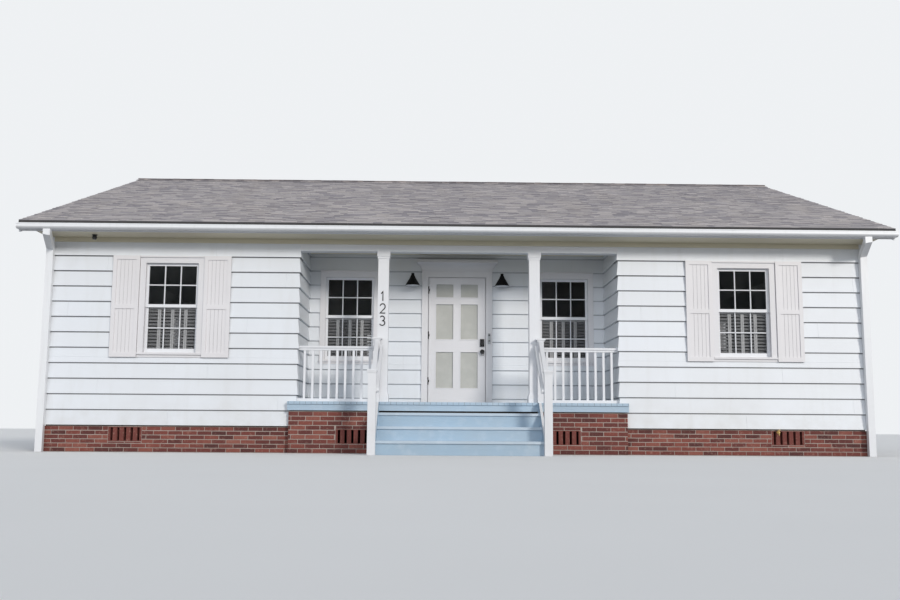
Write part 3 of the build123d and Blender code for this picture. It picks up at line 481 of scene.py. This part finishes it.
fired_brick("fired_brick")
roof_shingle()
dress(room_plaster(), "_wall ceiling")
dress(siding_paint(), "wall_over_door")
dress(mortar(), "foundation")
dress(fired_brick("vent_brick", 0.42), "foundation_vents")
dress(oak_floor(), "floor")
dress(deck_felt(), "roof_")
dress(eave_paint(), "eaves")
dress(boarded_ceiling(), "porch_ceiling")
dress(brushed_paint("white_paint"), "rake_boards porch_beam")
dress(brushed_paint("upright_paint", grain=(45.0, 45.0, 1.5), splash=0.15),
      "corner_boards porch_posts railings stair_rails sashes")
dress(brushed_paint("trim_paint", (0.755, 0.745, 0.765), (0.48, 0.45, 0.42), gloss=0.30),
      "window_frames door_frame door_crown glazed_door entry_door")
dress(porch_enamel("porch_enamel"), "porch_rim threshold")
# The treads are paled more than the risers: partly foot wear, partly painted light on their lit tops and
# nosings.
dress(porch_enamel("tread_enamel", paleness=0.6), "stair_treads")
dress(porch_enamel("deck_enamel", board=floor_board), "porch_floor")
dress(porch_enamel("stair_enamel", stair_half + 0.0005, paleness=0.1), "stair_frame")
dress(worn_finish("gutter_enamel", (0.83, 0.84, 0.86), (0.42, 0.40, 0.36),
                  (0.50, 0.78, 7.0, 4.0, (3.0, 3.0, 0.25)), 0.09, (0.08, 0.30),
                  (1.3, 2.0, (0.6, 3.0, 3.0)), 0.0008, Coat_Weight=0.2), "gutters downspouts")
# Window glass is tinted near black, painted shade of the dark rooms behind it; door glass is tinted pale,
# painted light on the white entry door behind it.
for name, clear, dust_and_painted_tint, rough, alpha in (
    ("window_glass", (0.010, 0.014, 0.016), (0.060, 0.064, 0.066), 0.02, 0.19),
    ("door_glass", (0.66, 0.66, 0.62), (0.71, 0.71, 0.67), 0.12, 0.62),
):
    dress(worn_finish(name, clear, dust_and_painted_tint, (0.45, 0.80, 5.0), 1.0, (0.05, rough), (2.2, 2.0), 0.0010,
                      Alpha=(0.06, alpha), IOR=1.22), name)
dress(shutter_enamel(), "wing_shutters")
dress(louvre_enamel(), "cafe_shutters")
dress(worn_finish("black_enamel", (0.008, 0.008, 0.009), (0.04, 0.038, 0.036), (0.60, 0.80, 16.0, 5.0),
                  0.4, (0.10, 0.55), (420.0, 2.0), 0.0002, Specular_IOR_Level=0.14),
      "frame_hinges door_hardware porch_lamps")
dress(worn_finish("cast_brass", (0.60, 0.42, 0.17), (0.24, 0.17, 0.09), (0.40, 0.70, 70.0, 5.0), 1.0,
                  (0.35, 0.28), (300.0,), 0.0003, Metallic=(-0.3, 1.0)), "hose_bib")
for name, colour, node in (("fitting_plastic", (0.40, 0.41, 0.42), "doorbell"),
                           ("dark_plastic", (0.02, 0.02, 0.022), "eave_camera")):
    dress(worn_finish(name, colour, (0.35, 0.33, 0.30), (0.50, 0.80, 25.0), 0.25, (0.2, 0.30),
                      (900.0, 2.0), 0.0001), node)


# Shapes

class Wall:
    """A flat side that faces one way, with places along it, out from it and up."""

    facings = {"front": (0, -1, 0), "back": (0, 1, 0), "left": (-1, 0, 0), "right": (1, 0, 0)}

    def __init__(self, facing, place):
        self.outward = Vector(self.facings[facing])
        self.along = Vector((abs(self.outward.y), abs(self.outward.x), 0))
        self.origin = Vector((abs(self.outward.x), abs(self.outward.y), 0)) * place
        self.turn = (0.0, 0.0, math.atan2(self.along.y, self.along.x))

    def at(self, along, out, height):
        return self.origin + self.along * along + self.outward * out + Vector((0, 0, height))


class Shape:
    """Closed solids gathered into the mesh of one piece."""

    def __init__(self):
        self.mesh = bmesh.new()

    def loft(self, rings, closed=False):
        """Join rings of points by faces; the ends are capped, or the last ring joins the first."""
        made = [[self.mesh.verts.new(point) for point in ring] for ring in rings]
        pairs = list(zip(made, made[1:]))
        if closed:
            pairs.append((made[-1], made[0]))
        else:
            self.mesh.faces.new(made[0])
            self.mesh.faces.new(made[-1])
        for first, second in pairs:
            for index in range(len(first)):
                near = index - 1
                self.mesh.faces.new((first[near], first[index], second[index], second[near]))

    def bar(self, low, high, chamfer=0.002, place=None):
        """A straight bar between two corners, with its long edges eased."""
        size = [b - a for a, b in zip(low, high)]
        axis = max(range(3), key=lambda index: size[index])
        u, v = [index for index in range(3) if index != axis]
        ease = min(chamfer, 0.3 * size[u], 0.3 * size[v])
        outline = [(low[u] + ease, low[v]), (high[u] - ease, low[v]), (high[u], low[v] + ease),
                   (high[u], high[v] - ease), (high[u] - ease, high[v]), (low[u] + ease, high[v]),
                   (low[u], high[v] - ease), (low[u], low[v] + ease)]
        rings = [[], []]
        for ring, end in zip(rings, (low[axis], high[axis])):
            for across, up in outline:
                point = Vector((0, 0, 0))
                point[axis], point[u], point[v] = end, across, up
                ring.append(place @ point if place else point)
        self.loft(rings)

    def turned(self, profile, place, sides=24, closed=False):
        """A round piece: its profile lists radius and height, from end to end or round a ring."""
        angles = [2 * math.pi * side / sides for side in range(sides)]
        self.loft([[place @ Vector((radius * math.cos(a), radius * math.sin(a), height)) for a in angles]
                   for radius, height in profile], closed)

    def done(self, name):
        """The finished mesh, with all its faces pointing outwards."""
        bmesh.ops.recalc_face_normals(self.mesh, faces=self.mesh.faces)
        mesh = bpy.data.meshes.new(name)
        self.mesh.to_mesh(mesh)
        self.mesh.free()
        return mesh


def add(name, data):
    """A new object in the scene."""
    made = bpy.data.objects.new(name, data)
    scene.collection.objects.link(made)
    return made


def piece(name, mesh, finish, body="house"):
    """A finished piece that rides on a body."""
    made = add(name, mesh.done(name) if isinstance(mesh, Shape) else mesh)
    made.data.materials.clear()
    made.data.materials.append(bpy.data.materials[finish])
    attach(made, body)


def islands(node):
    """The lowest and highest corner of each separate solid of a node, in order of place."""
    gathered = bmesh.new()
    gathered.from_mesh(cad[node].data)
    bmesh.ops.remove_doubles(gathered, verts=gathered.verts, dist=1e-5)
    waiting = set(gathered.verts)
    boxes = []
    while waiting:
        reached = [waiting.pop()]
        corners = []
        while reached:
            corner = reached.pop()
            corners.append(tuple(corner.co))
            for edge in corner.link_edges:
                other = edge.other_vert(corner)
                if other in waiting:
                    waiting.remove(other)
                    reached.append(other)
        boxes.append([Vector([pick(side) for side in zip(*corners)]) for pick in (min, max)])
    gathered.free()
    return sorted(boxes, key=lambda box: tuple(round(value, 4) for value in box[0]))


# Geometry trees

class Tree(Nodes):
    """A geometry tree that lays a unit at many points and ends in plain faces of one material."""

    kinds = {"Unit": "NodeSocketObject", "Seed": "NodeSocketInt", "Finish": "NodeSocketMaterial"}

    def __init__(self, name, *numbers):
        super().__init__(bpy.data.node_groups.new(name, "GeometryNodeTree"))
        interface = self.tree.interface
        interface.new_socket("Geometry", in_out="INPUT", socket_type="NodeSocketGeometry")
        self.sockets = {}
        for label in (*self.kinds, *numbers):
            kind = self.kinds.get(label, "NodeSocketFloat")
            self.sockets[label] = interface.new_socket(label, in_out="INPUT", socket_type=kind).identifier
        interface.new_socket("Geometry", in_out="OUTPUT", socket_type="NodeSocketGeometry")
        self.entry = self.tree.nodes.new("NodeGroupInput")

    def given(self, label):
        return Value(self, self.entry.outputs[label])

    def random(self, low, high, salt, index=None):
        """A seeded random number for each point."""
        inputs = {2: low, 3: high, 7: index, 8: self.given("Seed") + salt}
        return self.node("FunctionNodeRandomValue", inputs, 1)

    def store(self, geometry, name, value, domain="POINT"):
        inputs = {"Geometry": geometry, "Name": name, "Value": value}
        return self.node("GeometryNodeStoreNamedAttribute", inputs, domain=domain)

    def read(self, name, data_type="FLOAT"):
        return self.node("GeometryNodeInputNamedAttribute", {"Name": name}, data_type=data_type)

    def close(self, points, tone, **inputs):
        """Lay the unit at the points, each with a tone, turn all into faces, and end the tree."""
        unit = self.node("GeometryNodeObjectInfo", {"Object": self.given("Unit")}, "Geometry")
        laid = self.node("GeometryNodeInstanceOnPoints", {"Points": points, "Instance": unit, **inputs})
        real = self.node("GeometryNodeRealizeInstances", {0: self.store(laid, "tone", tone, "INSTANCE")})
        inputs = {"Geometry": real, "Material": self.given("Finish")}
        self.node("NodeGroupOutput", {0: self.node("GeometryNodeSetMaterial", inputs)})
        return self

    def grow(self, name, base, **values):
        """Run the tree on a base mesh and return the plain mesh that it makes."""
        holder = add(name + "_base", base)
        modifier = holder.modifiers.new("grow", "NODES")
        modifier.node_group = self.tree
        for label, value in values.items():
            modifier[self.sockets[label]] = value
        graph = bpy.context.evaluated_depsgraph_get()
        mesh = bpy.data.meshes.new_from_object(holder.evaluated_get(graph), depsgraph=graph)
        mesh.name = name
        bpy.data.objects.remove(holder)
        return mesh


def laid_units_tree():
    """Units at marked points, each with its size, turn and tone, and a little out of true."""
    tree = Tree("laid_units", "Wobble")
    wobble = tree.given("Wobble")
    lean = tree.vector(*[tree.random(-1.0, 1.0, salt) * wobble for salt in (1, 2, 3)])
    turn = tree.node("ShaderNodeVectorMath", {0: tree.read("turn", "FLOAT_VECTOR"), 1: lean})
    return tree.close(tree.given("Geometry"), tree.random(0.0, 1.0, 4),
                      Rotation=tree.node("FunctionNodeEulerToRotation", {0: turn}),
                      Scale=tree.read("size", "FLOAT_VECTOR"))


def shingle_slope_tree():
    """Courses of laminated tabs of random widths up one slope of the roof."""
    tree = Tree("shingle_slope", "Width", "Slope", "Exposure", "Narrow", "Wide", "Butt")
    width, narrow, exposure = [tree.given(label) for label in ("Width", "Narrow", "Exposure")]
    columns = (width / narrow).ceil() + 2
    courses = (tree.given("Slope") / exposure).ceil()
    line = tree.node("GeometryNodeMeshLine", {"Count": columns * courses, "Offset": (0, 0, 0)})
    course = (tree.node("GeometryNodeInputIndex") / columns).floor()
    breadth = tree.random(narrow, tree.given("Wide"), 1)
    end = tree.node("GeometryNodeAccumulateField", {"Value": breadth, "Group ID": course}, "Leading")
    shift = tree.random(0.0, narrow, 2, course)
    marked = tree.store(line, "first", (end - breadth - shift).most(0.0))
    marked = tree.store(marked, "last", (end - shift).least(width))
    marked = tree.store(marked, "course", course)
    first, last = tree.read("first"), tree.read("last")
    breadth = last - first
    kept = tree.node("GeometryNodeDeleteGeometry", {"Geometry": marked, "Selection": breadth < least_tab})
    place = tree.vector((first + last) * 0.5 - width * 0.5, tree.read("course") * exposure)
    points = tree.node("GeometryNodeSetPosition", {"Geometry": kept, "Position": place})
    thick = tree.random(0.0, 1.0, 3) > 0.45
    scale = tree.vector(breadth - tab_gap, exposure * (thick * 0.02 + 1.02),
                        tree.given("Butt") * (thick * 0.55 + 0.65))
    return tree.close(points, thick * 0.28 + tree.random(0.0, 0.72, 4), Scale=scale)


laid_units = laid_units_tree()
shingle_slope = shingle_slope_tree()


def unit(name, size, chamfer):
    """A block of unit size whose eased edges come out right at its real size."""
    shape = Shape()
    half = Vector(size) / 2
    shape.bar(-half, half, chamfer, Matrix.Diagonal([1 / length for length in size] + [1]))
    return add(name, shape.done(name))


def lay(name, spots, block, finish, seed=1, wobble=0.0):
    """A mesh of one block repeated at spots, each a place, a size and a turn."""
    base = bpy.data.meshes.new(name + "_spots")
    base.from_pydata([spot[0] for spot in spots], [], [])
    for column, label in enumerate(("size", "turn"), 1):
        attribute = base.attributes.new(label, "FLOAT_VECTOR", "POINT")
        attribute.data.foreach_set("vector", [value for spot in spots for value in spot[column]])
    return laid_units.grow(name, base, Unit=block, Wobble=wobble, Seed=seed,
                           Finish=bpy.data.materials[finish])


# Clapboards

def free_stretches(reach, levels, holes):
    """The stretches of a wall, between two levels, that no hole cuts."""
    start, stop = reach
    stretches = []
    for low_u, high_u, low_v, high_v in sorted(holes):
        if low_v < levels[1] - slack and high_v > levels[0] + slack:
            if low_u > start:
                stretches.append((start, min(low_u, stop)))
            start = max(start, high_u)
    if start < stop:
        stretches.append((start, stop))
    return stretches


def clapboard(shape, wall, butt, levels, foot, head, mitres):
    """One board, or one notched stretch of it; foot and head are its ends below and above."""
    def depth(level):
        return board_butt - (board_butt - board_tip) * (level - butt) / board_exposure

    low, high = levels
    section = [(low, 0.0), (low, depth(low) - board_ease), (low + board_ease, depth(low)),
               (high, depth(high)), (high, 0.0)]
    rings = []
    for end in (0, 1):
        slope = (head[end] - foot[end]) / (high - low)
        rings.append([wall.at(foot[end] + slope * (level - low) + mitres[end] * out, out, level)
                      for level, out in section])
    shape.loft(rings)


def clapboards(shape, wall, reach, levels, holes=(), mitres=(0, 0)):
    """Lapped boards on a wall between two levels; reach gives its ends at a level."""
    lowest = math.floor((levels[0] - siding_bottom) / board_exposure + 1e-6)
    for course in range(lowest, math.ceil((levels[1] - slack - siding_bottom) / board_exposure)):
        butt = siding_bottom + course * board_exposure
        low, high = max(butt, levels[0]), min(butt + board_exposure, levels[1])
        cuts = sorted({low, high, *(edge for hole in holes for edge in hole[2:] if low < edge < high)})
        offset = (course * board_shift + abs(wall.origin.x) + wall.origin.y) % board_run
        joints = [(offset + index * board_run - board_joint, offset + index * board_run, low, high)
                  for index in range(-4, 5)]
        for low, high in zip(cuts, cuts[1:]):
            foot_ends, head_ends = reach(low), reach(high)
            if head_ends[1] - head_ends[0] < shortest_course:
                continue
            for start, stop in free_stretches(foot_ends, (low, high), list(holes) + joints):
                if stop - start < shortest_board:
                    continue
                head = (max(start, head_ends[0]), min(stop, head_ends[1]))
                if head[1] - head[0] < shortest_head:
                    continue
                ends = (mitres[0] if start == foot_ends[0] else 0,
                        mitres[1] if stop == foot_ends[1] else 0)
                clapboard(shape, wall, butt, (low, high), (start, stop), head, ends)


def straight(start, stop):
    """The ends of a wall that are the same at each level."""
    return lambda level: (start, stop)


pitch = (roof_high.z - roof_low.z - roof_thickness) / (ridge_y - roof_low.y)


def under_roof(start, stop):
    """The ends of a gable wall, drawn in where the roof comes down on it."""
    def ends(level):
        inside = roof_low.y + (level + gable_gap - roof_low.z) / pitch
        return max(start, inside), min(stop, house_back - inside)
    return ends


def holes_of(frames, axis, at):
    """The outlines of the window casings that lie in a wall."""
    other = 1 - axis
    return [(low[axis], high[axis], low.z, high.z) for low, high in frames
            if min(abs(low[other] - at), abs(high[other] - at)) < casing_reach]


def clad(name, *stretches):
    """A piece of clapboards on stretches of wall, each given as clapboards takes it."""
    boards = Shape()
    for stretch in stretches:
        clapboards(boards, *stretch)
    piece(name, boards, "siding_paint")


front_frames = islands("front_window_frames")
rear_frames = islands("rear_window_frames")
frame_low, frame_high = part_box("door_frame")
door_hole = (frame_low.x, frame_high.x, porch_level, frame_high.z)

front = Wall("front", 0)
full_height = (siding_bottom, frieze_bottom)
wing_holes = holes_of(front_frames, 0, 0.0)
clad("wing_clapboards",
     (front, straight(-corner_inner, -half_porch), full_height, wing_holes, (0, 1)),
     (front, straight(half_porch, corner_inner), full_height, wing_holes, (-1, 0)))

recess_height = (porch_level, soffit_level)
recess_side = (straight(0, porch_back), recess_height, (), (-1, 0))
clad("porch_clapboards",
     (Wall("front", porch_back), straight(-half_porch, half_porch), recess_height,
      holes_of(front_frames, 0, porch_back) + [door_hole]),
     (Wall("right", -half_porch), *recess_side),
     (Wall("left", half_porch), *recess_side))

for side, x in (("left", -half_house), ("right", half_house)):
    clad(f"{side}_gable_clapboards",
         (Wall(side, x), under_roof(corner_leg, house_back - corner_leg), (siding_bottom, roof_high.z),
          holes_of(rear_frames, 1, x)))
clad("back_clapboards",
     (Wall("back", house_back), straight(-corner_inner, corner_inner), full_height,
      holes_of(rear_frames, 0, house_back)))


# Brick facing of the foundation

def brick_spots(wall, reach, levels, holes):
    """Spots of bricks in running bond on a wall, cut at its ends and round its holes."""
    spots = []

    def brick(first, last, low, height):
        size = (last - first - brick_joint, 2 * brick_proud, height - brick_joint)
        spots.append((wall.at((first + last) / 2, 0, low + height / 2), size, wall.turn))

    rows = round((levels[1] - levels[0]) / brick_course)
    course = (levels[1] - levels[0]) / rows
    step = brick_length + brick_joint
    for row in range(rows):
        low = levels[0] + row * course
        shift = step / 2 * (row % 2)
        for start, stop in free_stretches(reach, (low, low + course), holes):
            place = math.floor((start - shift) / step) * step + shift
            while place < stop:
                first, last = max(place, start), min(place + step, stop)
                if last - first > least_brick:
                    brick(first, last, low, course)
                place += step
    for low_u, high_u, low_v, high_v in holes:
        under = (low_v - levels[0]) % course
        over = -(high_v - levels[0]) % course
        count = round((high_u - low_u) / step)
        ends = [low_u + (high_u - low_u) * index / count for index in range(count + 1)]
        for base, height in ((low_v - under, under), (high_v, over)):
            fits = reach[0] < low_u < reach[1] and base + height <= levels[1] + slack
            if fits and height > least_cut_course:
                for first, last in zip(ends, ends[1:]):
                    brick(first, last, base, height)
    return spots


def vent_holes(nearest, farthest):
    """The outlines of the air vents whose front lies between two depths."""
    return [(low.x, high.x, low.z, high.z) for low, high in islands("foundation_vents")
            if nearest < low.y < farthest]


wing_low, wing_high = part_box("foundation_front")
step_low, step_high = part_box("foundation_porch")
side_low, side_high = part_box("foundation_sides")
back_low, back_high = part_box("foundation_back")
high_bricks = (0.0, siding_bottom - brick_slot)
step_bricks = (0.0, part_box("porch_rim")[0].z - porch_brick_slot)
wing_face = Wall("front", wing_low.y)
wing_vents = vent_holes(wing_low.y - 0.01, 0.1)
step_holes = vent_holes(-0.2, -0.01) + [(-stair_half, stair_half, stair_top, porch_level)]
side_reach = (wing_low.y - brick_proud, back_high.y + brick_proud)
step_side = (step_low.y - brick_proud, wing_low.y)
spots = []
for wall, reach, levels, holes in (
    (wing_face, (wing_low.x - brick_proud, step_low.x), high_bricks, wing_vents),
    (wing_face, (step_high.x, wing_high.x + brick_proud), high_bricks, wing_vents),
    (Wall("back", back_high.y), (back_low.x - brick_proud, back_high.x + brick_proud), high_bricks, ()),
    (Wall("left", side_low.x), side_reach, high_bricks, ()),
    (Wall("right", side_high.x), side_reach, high_bricks, ()),
    (Wall("front", step_low.y), (step_low.x - brick_proud, step_high.x + brick_proud), step_bricks,
     step_holes),
    (Wall("left", step_low.x), step_side, step_bricks, ()),
    (Wall("right", step_high.x), step_side, step_bricks, ()),
):
    spots += brick_spots(wall, reach, levels, holes)
brick_unit = unit("brick_unit", (brick_length, 2 * brick_proud, brick_course), 0.003)
piece("foundation_bricks", lay("foundation_bricks", spots, brick_unit, "fired_brick", 5, 0.006),
      "fired_brick")

# Shingles and ridge caps

slope_length = (ridge_y - roof_low.y) * math.hypot(1, pitch)
roof_width = roof_high.x - roof_low.x
tab_shape = Shape()
tab_shape.loft([[Vector((x, *corner)) for corner in ((0, 0), (0, 1), (1, 0.25), (1, 0))]
                for x in (-0.5, 0.5)])
tab_unit = add("tab_unit", tab_shape.done("tab_unit"))
for name, eave_y, turn, seed in (("front", roof_low.y, 0.0, 11),
                                 ("back", house_back - roof_low.y, math.pi, 23)):
    mesh = shingle_slope.grow(
        f"{name}_shingles", bpy.data.meshes.new("bare"), Unit=tab_unit, Width=roof_width, Slope=slope_length,
        Exposure=shingle_exposure, Narrow=shingle_tabs[0], Wide=shingle_tabs[1], Butt=shingle_butt,
        Seed=seed, Finish=bpy.data.materials["roof_shingle"])
    lie = Matrix.Translation((0, eave_y, roof_low.z + roof_thickness)) @ Matrix.Rotation(turn, 4, "Z")
    mesh.transform(lie @ Matrix.Rotation(math.atan(pitch), 4, "X"))
    piece(f"{name}_shingles", mesh, "roof_shingle")

cap_spots = []
caps = int(roof_width / shingle_exposure)
cap_size = (roof_width / caps * cap_lap, cap_width, cap_thickness)
for index in range(caps):
    x = roof_low.x + (index + 0.5) * roof_width / caps
    for side in (-1, 1):
        lean = -side * math.atan(pitch)
        place = Vector((x, ridge_y + side * cap_setoff * math.cos(lean),
                        roof_high.z + cap_rise - abs(cap_setoff * math.sin(lean))))
        cap_spots.append((place, cap_size, (lean, cap_tilt, 0)))
cap_unit = unit("cap_unit", (shingle_exposure, cap_unit_width, cap_thickness), 0.001)
piece("ridge_caps", lay("ridge_caps", cap_spots, cap_unit, "roof_shingle", 31), "roof_shingle")


# Boards of floor, ceiling, soffit and shutters

def matched_boards(shape, low, high, axis, width, start=0.0):
    """Boards side by side along an axis, filling a box, with the gaps at whole steps from the start."""
    edge = start + math.floor((low[axis] - start) / width + 1e-6) * width
    while edge < high[axis] - 1e-6:
        near, far = Vector(low), Vector(high)
        near[axis] = max(low[axis], edge + board_gap)
        edge += width
        far[axis] = min(high[axis], edge)
        if far[axis] - near[axis] > board_gap:
            shape.bar(near, far, 0.001)


deck = Shape()
deck_low, deck_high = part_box("porch_floor")
for first, last, inner_end in ((-half_porch, half_porch, porch_back), (deck_low.x, -half_porch, 0.0),
                               (half_porch, deck_high.x, 0.0)):
    matched_boards(deck, (first, deck_low.y + 0.001, deck_high.z),
                   (last, inner_end, deck_high.z + board_thick), 0, floor_board)
piece("porch_floor_boards", deck, "deck_enamel")

under = soffit_level - board_thick
ceiling_low, ceiling_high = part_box("porch_ceiling")
ceiling_boards = Shape()
matched_boards(ceiling_boards, (ceiling_low.x, ceiling_low.y, under),
               (ceiling_high.x, ceiling_high.y, soffit_level), 1, soffit_board)
piece("porch_ceiling_boards", ceiling_boards, "boarded_ceiling")

soffit_boards = Shape()
for low_y in (-eave_reach, house_back):
    matched_boards(soffit_boards, (-soffit_end, low_y, under),
                   (soffit_end, low_y + eave_reach, soffit_level), 1, soffit_board)
piece("soffit_boards", soffit_boards, "eave_paint")

leaves = Shape()
for low, high in islands("wing_shutters"):
    if high.x - low.x > 4 * shutter_stile:
        first, last = low.x + shutter_stile, high.x - shutter_stile
        face_y = low.y + shutter_panel_depth
        for foot, head in shutter_panels:
            matched_boards(leaves, (first, face_y - shutter_board_thick, low.z + foot),
                           (last, face_y, low.z + head), 0,
                           (last - first + board_gap) / shutter_boards, first - board_gap)
piece("shutter_boards", leaves, "shutter_enamel")


# House number

def stroke(shape, wall, points, width, out):
    """A flat band of even width along a line of points on a wall."""
    rings = []
    for index, point in enumerate(points):
        before, after = points[max(index - 1, 0)], points[min(index + 1, len(points) - 1)]
        first, second = (Vector(point) - Vector(before)), (Vector(after) - Vector(point))
        along = (first.normalized() + second.normalized()).normalized()
        side = Vector((-along.y, along.x)) * width / 2
        if 0 < index < len(points) - 1:
            side = side / max(abs(along.dot(second.normalized())), 0.5)
        rings.append([wall.at(point[0] + side.x * end, depth, point[1] + side.y * end)
                      for end, depth in ((1, out[0]), (1, out[1]), (-1, out[1]), (-1, out[0]))])
    shape.loft(rings)


def bend(centre, radii, start, stop, count=12):
    """Points along part of an ellipse, between two angles in degrees."""
    angles = [math.radians(start + (stop - start) * index / count) for index in range(count + 1)]
    return [(centre[0] + radii[0] * math.cos(a), centre[1] + radii[1] * math.sin(a)) for a in angles]


digit_lines = [
    [[(0.22, 0.76), (0.52, 1.0), (0.52, 0.0)]],
    [bend((0.5, 0.70), (0.44, 0.30), 165, -38) + [(0.08, 0.0), (0.96, 0.0)]],
    [bend((0.46, 0.75), (0.38, 0.25), 150, -80) + bend((0.46, 0.26), (0.46, 0.26), 80, -155)],
]
post_low, post_high = islands("porch_posts")[0]
left_edge = (post_low.x + post_high.x - digit_size[0]) / 2 + digit_shift
digits = Shape()
for index, lines in enumerate(digit_lines):
    bottom = digit_bottom - index * digit_pitch
    for line in lines:
        points = [(left_edge + u * digit_size[0], bottom + v * digit_size[1]) for u, v in line]
        stroke(digits, front, points, digit_stroke, (0.0, digit_thick))
piece("house_number", digits, "black_enamel")

# Lamps, fittings and metalwork

liners = Shape()
bulbs = Shape()
for low, high in islands("porch_lamps"):
    width = high.x - low.x
    if width > 0.2:
        foot = Matrix.Translation((low.x + width / 2, low.y + width / 2, low.z))
        liners.turned([(0.118, 0.0015), (0.0425, 0.1205), (0.0405, 0.1205), (0.116, 0.0015)], foot, 32, True)
        bulbs.turned([(0.010, 0.002), (0.024, 0.012), (0.029, 0.030), (0.024, 0.050), (0.014, 0.066),
                      (0.013, 0.105)], foot)
piece("lamp_liners", liners, "white_paint")
piece("lamp_bulbs", bulbs, "white_paint")

bell_low, bell_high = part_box("doorbell")
for name, height, profile in (
    ("doorbell_button", 0.042, [(0.0125, 0.0), (0.0125, 0.003), (0.0105, 0.0045)]),
    ("doorbell_lens", 0.134, [(0.0140, 0.0), (0.0140, 0.002), (0.0090, 0.0035)]),
):
    place = Matrix.Translation(((bell_low.x + bell_high.x) / 2, bell_low.y, bell_low.z + height))
    disc = Shape()
    disc.turned(profile, place @ Matrix.Rotation(math.pi / 2, 4, "X"))
    piece(name, disc, "dark_plastic")

keys = Shape()
for low, high in islands("glazed_door_hardware"):
    if abs(high.x - low.x - keypad_width) < 0.002:
        for key in range(12):
            x = (low.x + high.x) / 2 + (key % 3 - 1) * key_pitch[0]
            z = high.z - key_from_top - key // 3 * key_pitch[1]
            keys.bar((x - key_half[0], low.y - 0.002, z - key_half[1]),
                     (x + key_half[0], low.y + 0.001, z + key_half[1]), 0.001)
piece("keypad_keys", keys, "dark_plastic", "glazed_door")

straps = Shape()
for low, high in islands("gutters"):
    count = int((high.x - low.x) / strap_pitch)
    for index in range(count):
        x = low.x + (index + 0.5) * (high.x - low.x) / count
        straps.bar((x - strap_half_width, low.y + 0.004, high.z - 0.0085),
                   (x + strap_half_width, high.y - 0.001, high.z - 0.006), 0.001)
piece("gutter_straps", straps, "gutter_enamel")

bands = Shape()
for low, high in islands("downspouts"):
    outer_x = high.x if high.x > 0 else low.x
    left_x, right_x = sorted((outer_x, outer_x - math.copysign(spout_size[0], outer_x)))
    wall_y, outward = (high.y, -1) if low.y < 0 else (low.y, 1)
    near, far = sorted((wall_y, wall_y + outward * (spout_size[1] + band_proud)))
    for level in band_levels:
        bands.bar((left_x - band_proud, near, level - band_half_height),
                  (right_x + band_proud, far, level + band_half_height), 0.0005)
piece("downspout_bands", bands, "gutter_enamel")

# Bars that part each sash into three by two panes, on both sides of its glass

bars = Shape()
for low, high in islands("front_window_glass") + islands("rear_window_glass"):
    along = 0 if high.x - low.x > high.y - low.y else 1
    across = 1 - along
    middle = (low[across] + high[across]) / 2
    for axis, share in ((along, 1 / 3), (along, 2 / 3), (2, 1 / 2)):
        foot, head = low.copy(), high.copy()
        foot[across], head[across] = middle - bar_depth / 2, middle + bar_depth / 2
        centre = low[axis] + (high[axis] - low[axis]) * share
        foot[axis], head[axis] = centre - bar_width / 2, centre + bar_width / 2
        bars.bar(foot, head, 0.005)
piece("window_bars", bars, "upright_paint")


# Floor and light

def seen_by_eye(nodes):
    """1 where a surface is seen, in a gloss or glass too, and 0 where it only gives light."""
    straight_on, in_gloss, through = [nodes.node("ShaderNodeLightPath", output=f"Is {kind} Ray")
                                      for kind in ("Camera", "Glossy", "Transmission")]
    return (straight_on + in_gloss + through).least(1.0)


ground = Paint("stage_paint")
pale = ground.blend(ground.noise(0.6, 2.0), (0.86, 0.86, 0.85), (0.89, 0.89, 0.88))
ground.finish(ground.blend(seen_by_eye(ground), (0.26, 0.26, 0.26), pale), 0.9)
stage_mesh = bpy.data.meshes.new("stage_floor")
stage_mesh.from_pydata([(x * stage_reach, y * stage_reach, -0.001)
                        for x, y in ((-1, -1), (1, -1), (1, 1), (-1, 1))], [], [(0, 1, 2, 3)])
stage_mesh.materials.append(ground.material)
add("stage_floor", stage_mesh)

world = bpy.data.worlds.new("studio")
world.use_nodes = True
world.node_tree.nodes.clear()
scene.world = world
sky = Nodes(world.node_tree)
shade = sky.blend(seen_by_eye(sky), (0.40, 0.43, 0.48), (0.86, 0.88, 0.90))
background = sky.node("ShaderNodeBackground", {"Color": shade})
sky.node("ShaderNodeOutputWorld", {"Surface": background})


def lamp(name, energy, softness, azimuth, elevation, colour):
    """A soft distant light from a direction: azimuth from the front towards +X, and a height."""
    light = bpy.data.lights.new(name, "SUN")
    light.energy = energy
    light.angle = math.radians(softness)
    light.color = colour
    add(name, light).rotation_euler = (math.radians(90 - elevation), 0, math.radians(azimuth))


lamp("key", 1.60, 11.0, 28.0, 19.0, (1.0, 0.96, 0.90))
lamp("fill", 0.80, 50.0, -18.0, 12.0, (0.92, 0.96, 1.0))

lens = bpy.data.cameras.new("photo_view")
lens.lens = camera_lens
lens.sensor_width = 36.0
lens.clip_end = 200.0
camera = add("photo_view", lens)
turn = (Matrix.Rotation(-camera_yaw, 4, "Z") @ Matrix.Rotation(math.pi / 2 + camera_pitch, 4, "X")
        @ Matrix.Rotation(camera_roll, 4, "Z"))
camera.matrix_world = Matrix.Translation(camera_place) @ turn
scene.camera = camera
scene.view_settings.view_transform = "Standard"

for helper in (brick_unit, tab_unit, cap_unit):
    bpy.data.objects.remove(helper)
